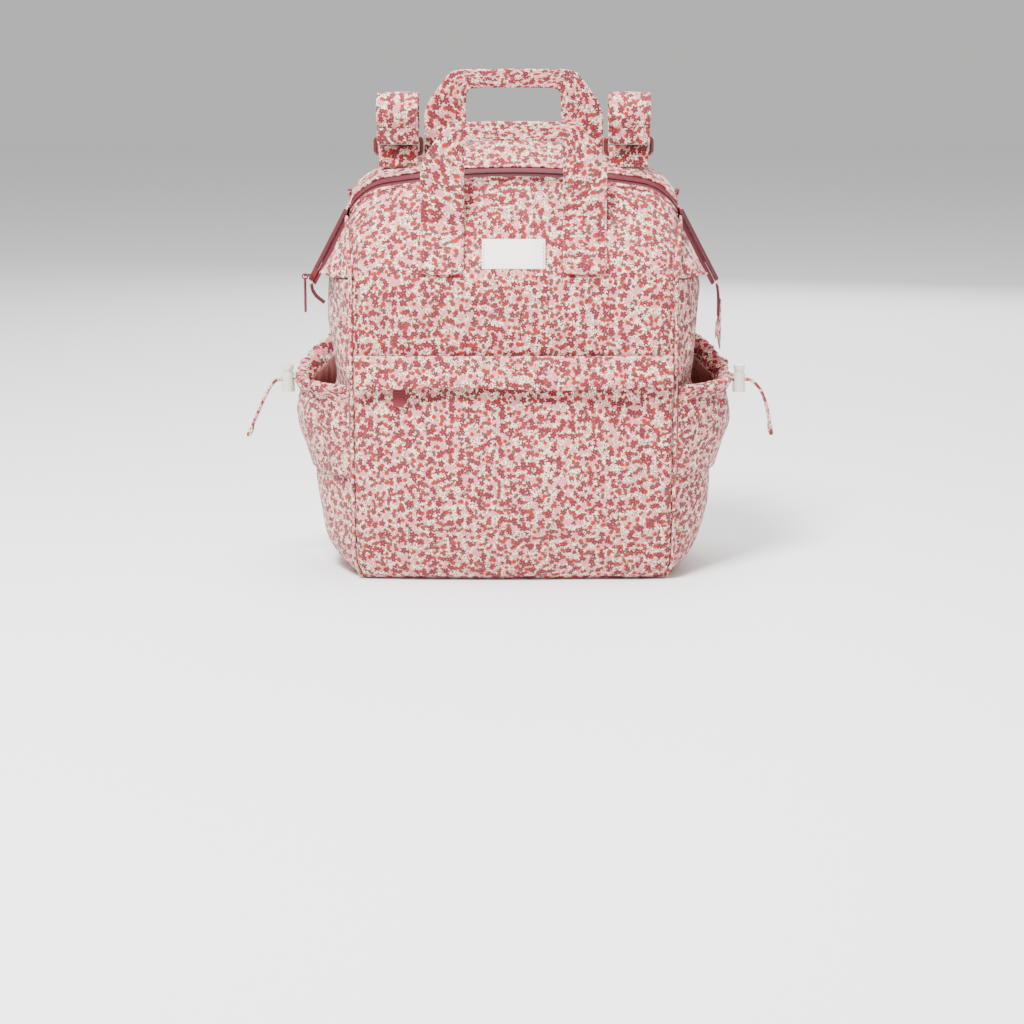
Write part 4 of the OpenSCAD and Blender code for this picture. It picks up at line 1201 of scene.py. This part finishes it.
# ---- Label ---------------------------------------------------------------------------------------
# A blank woven label of cream satin, sewn on at its two ends.
satin, shader, place, drift = dyed("cream_satin", 0.45, (0.965, 0.95, 0.925), (0.94, 0.925, 0.895), 60.0,
                                   "cloth", Sheen_Weight=0.2)
grain = place.node("SeparateXYZ", sockets={0: place})
bump(shader, (grain.other("Y") * 9000.0).math("SINE") * 0.4 + drift, 0.0002, 0.5)
read_y = surface_y(front, -1)
label_foot, label_high = 312 * mm, 28 * mm
x = np.linspace(-31, 31, 40) * mm
rows = []
for t in np.linspace(0, 1, 20):
    z = label_foot + label_high * t
    flat = (-83.9 + 12 * t) * mm
    rows.append([(k, min(read_y(k, z, flat), flat + 3 * mm) - 0.9 * mm, z) for k in x])
label = cloth("sewn_label", np.array(rows), (0, -1, 0), finish=satin, inside=satin)
thicken(label, 0.8 * mm, backed=False)
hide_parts("label")
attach(label, "mouth_front")
lines = [[(s * 29 * mm, (-86.4 + 12 * t) * mm, label_foot + label_high * t)
          for t in np.linspace(0.06, 0.94, 12)] for s in (-1, 1)]
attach(topstitch("label_stitching", lines, label), "mouth_front")


# ---- Pram straps ---------------------------------------------------------------------------------
# Bands of the print that wrap a handlebar and close on themselves with hook and loop. Each hangs on an
# enamelled ring, held by a loop sewn to the rear half of the mouth.
def arc(centre, radius, start, stop, count):
    """Points on part of a circle, from one angle in degrees to another."""
    a = np.radians(np.linspace(start, stop, count))
    return [(centre[0] + radius * math.cos(k), centre[1] + radius * math.sin(k)) for k in a]


strap_x, bar_z = 115 * mm, 458
wrap = arc((0, bar_z), 19.6, -63, 233, 34)
under_ring = arc((4, 433.5), 3.6, 250, 395, 10)
front_leg = [(-14.6, 444.5), (-12.6, 436.5), (-10.4, 428.6)]
route = [(0.5, 430.4)] + under_ring[1:] + [(8.2, 438.2)] + wrap + front_leg
loop_route = [(-0.3, 405.5), (-0.5, 411), (-0.6, 417), (-0.2, 422), (1.4, 425.2), (4.2, 426.2), (6.8, 424.4),
              (7.9, 420.5), (7.4, 416.4), (5.4, 413.8), (3.0, 413.8)]
for s, side in ((-1, "left"), (1, "right")):
    path = np.array([(s * strap_x, y * mm, z * mm) for y, z in curve_through(route, 110)])
    grid = swept(path, oval(41 * mm, 3.0 * mm, 28, 0.32), (1, 0, 0))
    grid = rumple(grid, 0.9 * mm, 18 * mm, 61.0 + s)
    strap = closed("pram_strap_" + side, grid)
    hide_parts("stroller_strap_" + side)
    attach(strap, "strap_" + side)
    wrapped = path[26:]
    clear = wrapped + (wrapped - np.array([s * strap_x, 0, bar_z * mm])) * 0.12
    lines = [clear + np.array([e * 17.8 * mm, 0, 0]) for e in (-1, 1)]
    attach(topstitch("strap_stitching_" + side, lines, strap), "strap_" + side)
    path = np.array([(s * strap_x, y * mm, z * mm) for y, z in curve_through(loop_route, 40)])
    grid = swept(path, oval(39 * mm, 1.7 * mm, 24, 0.3), (1, 0, 0))
    anchor = closed("strap_loop_" + side, grid)
    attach(anchor, "mouth_rear")
    if s == 1:
        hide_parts("strap_anchors")


# ---- Shoulder straps -----------------------------------------------------------------------------
# Padded straps on the back, each with cream webbing through a ladder adjuster down to a sewn tab.
ribbon, shader, place, _ = dyed("cream_webbing", 0.7, (0.90, 0.85, 0.80), (0.84, 0.79, 0.74), 100.0,
                                "cloth", Sheen_Weight=0.2)
bump(shader, woven(place, 3600.0, 2400.0), 0.0003, 0.6)
pad_route = ((44, 97, 288), (48, 103, 268), (56, 109, 240), (64, 111, 205), (70, 108, 172), (75, 103, 146))
web_top, web_foot = np.array((77, 100, 140.0)), np.array((120, 91, 44.0))
down = (web_foot - web_top) / np.linalg.norm(web_foot - web_top)
for s, side in ((-1, "left"), (1, "right")):
    flip = np.array((s, 1, 1)) * mm
    path = curve_through(np.array(pad_route) * flip, 60)
    grid = swept(path, oval(56 * mm, 9 * mm, 30, 0.6), (1, 0, 0))
    ease = np.array([0.8, 0.93, 0.98] + [1] * 54 + [0.98, 0.93, 0.8])
    grid = rumple(sized(grid, ease[:, None, None]), 1.2 * mm, 26 * mm, 71.0 + s)
    pad = closed("shoulder_pad_" + side + "_cloth", grid)
    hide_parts("shoulder_pad_" + side)
    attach(pad, "bag_body")
    lines = [path[3:-3] + np.array([e * 23 * mm, 6 * mm, 0]) for e in (-1, 1)]
    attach(topstitch("pad_stitching_" + side, lines, pad), "bag_body")
    runs = (("long_", web_top + (0, -4.2, -2), web_top + down * 45 + (0, -4.2, 0), web_foot),
            ("short_", web_top + (0, 4.6, -2), web_top + down * 35 + (0, 5.2, 0),
             web_top + down * 70 + (0, 4.6, 0)))
    for run, *points in runs:
        path = curve_through(np.array(points) * flip, 40)
        grid = swept(path, oval(25 * mm, 1.4 * mm, 20, 0.35), (1, 0, 0))
        band = closed("webbing_" + run + side, grid, ribbon)
        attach(band, "bag_body")
        if s == 1 and run == "long_":
            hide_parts("webbing")
    points = (web_foot - down * 3 + (0, 0.8, 0), web_foot + down * 8 + (0, -1, 0),
              web_foot + down * 16 + (0, -2.5, 0))
    path = curve_through(np.array(points) * flip, 14)
    grid = swept(path, oval(30 * mm, 4 * mm, 20, 0.4), (1, 0, 0))
    tab = closed("strap_tab_" + side, grid)
    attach(tab, "bag_body")
    if s == 1:
        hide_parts("strap_tabs")
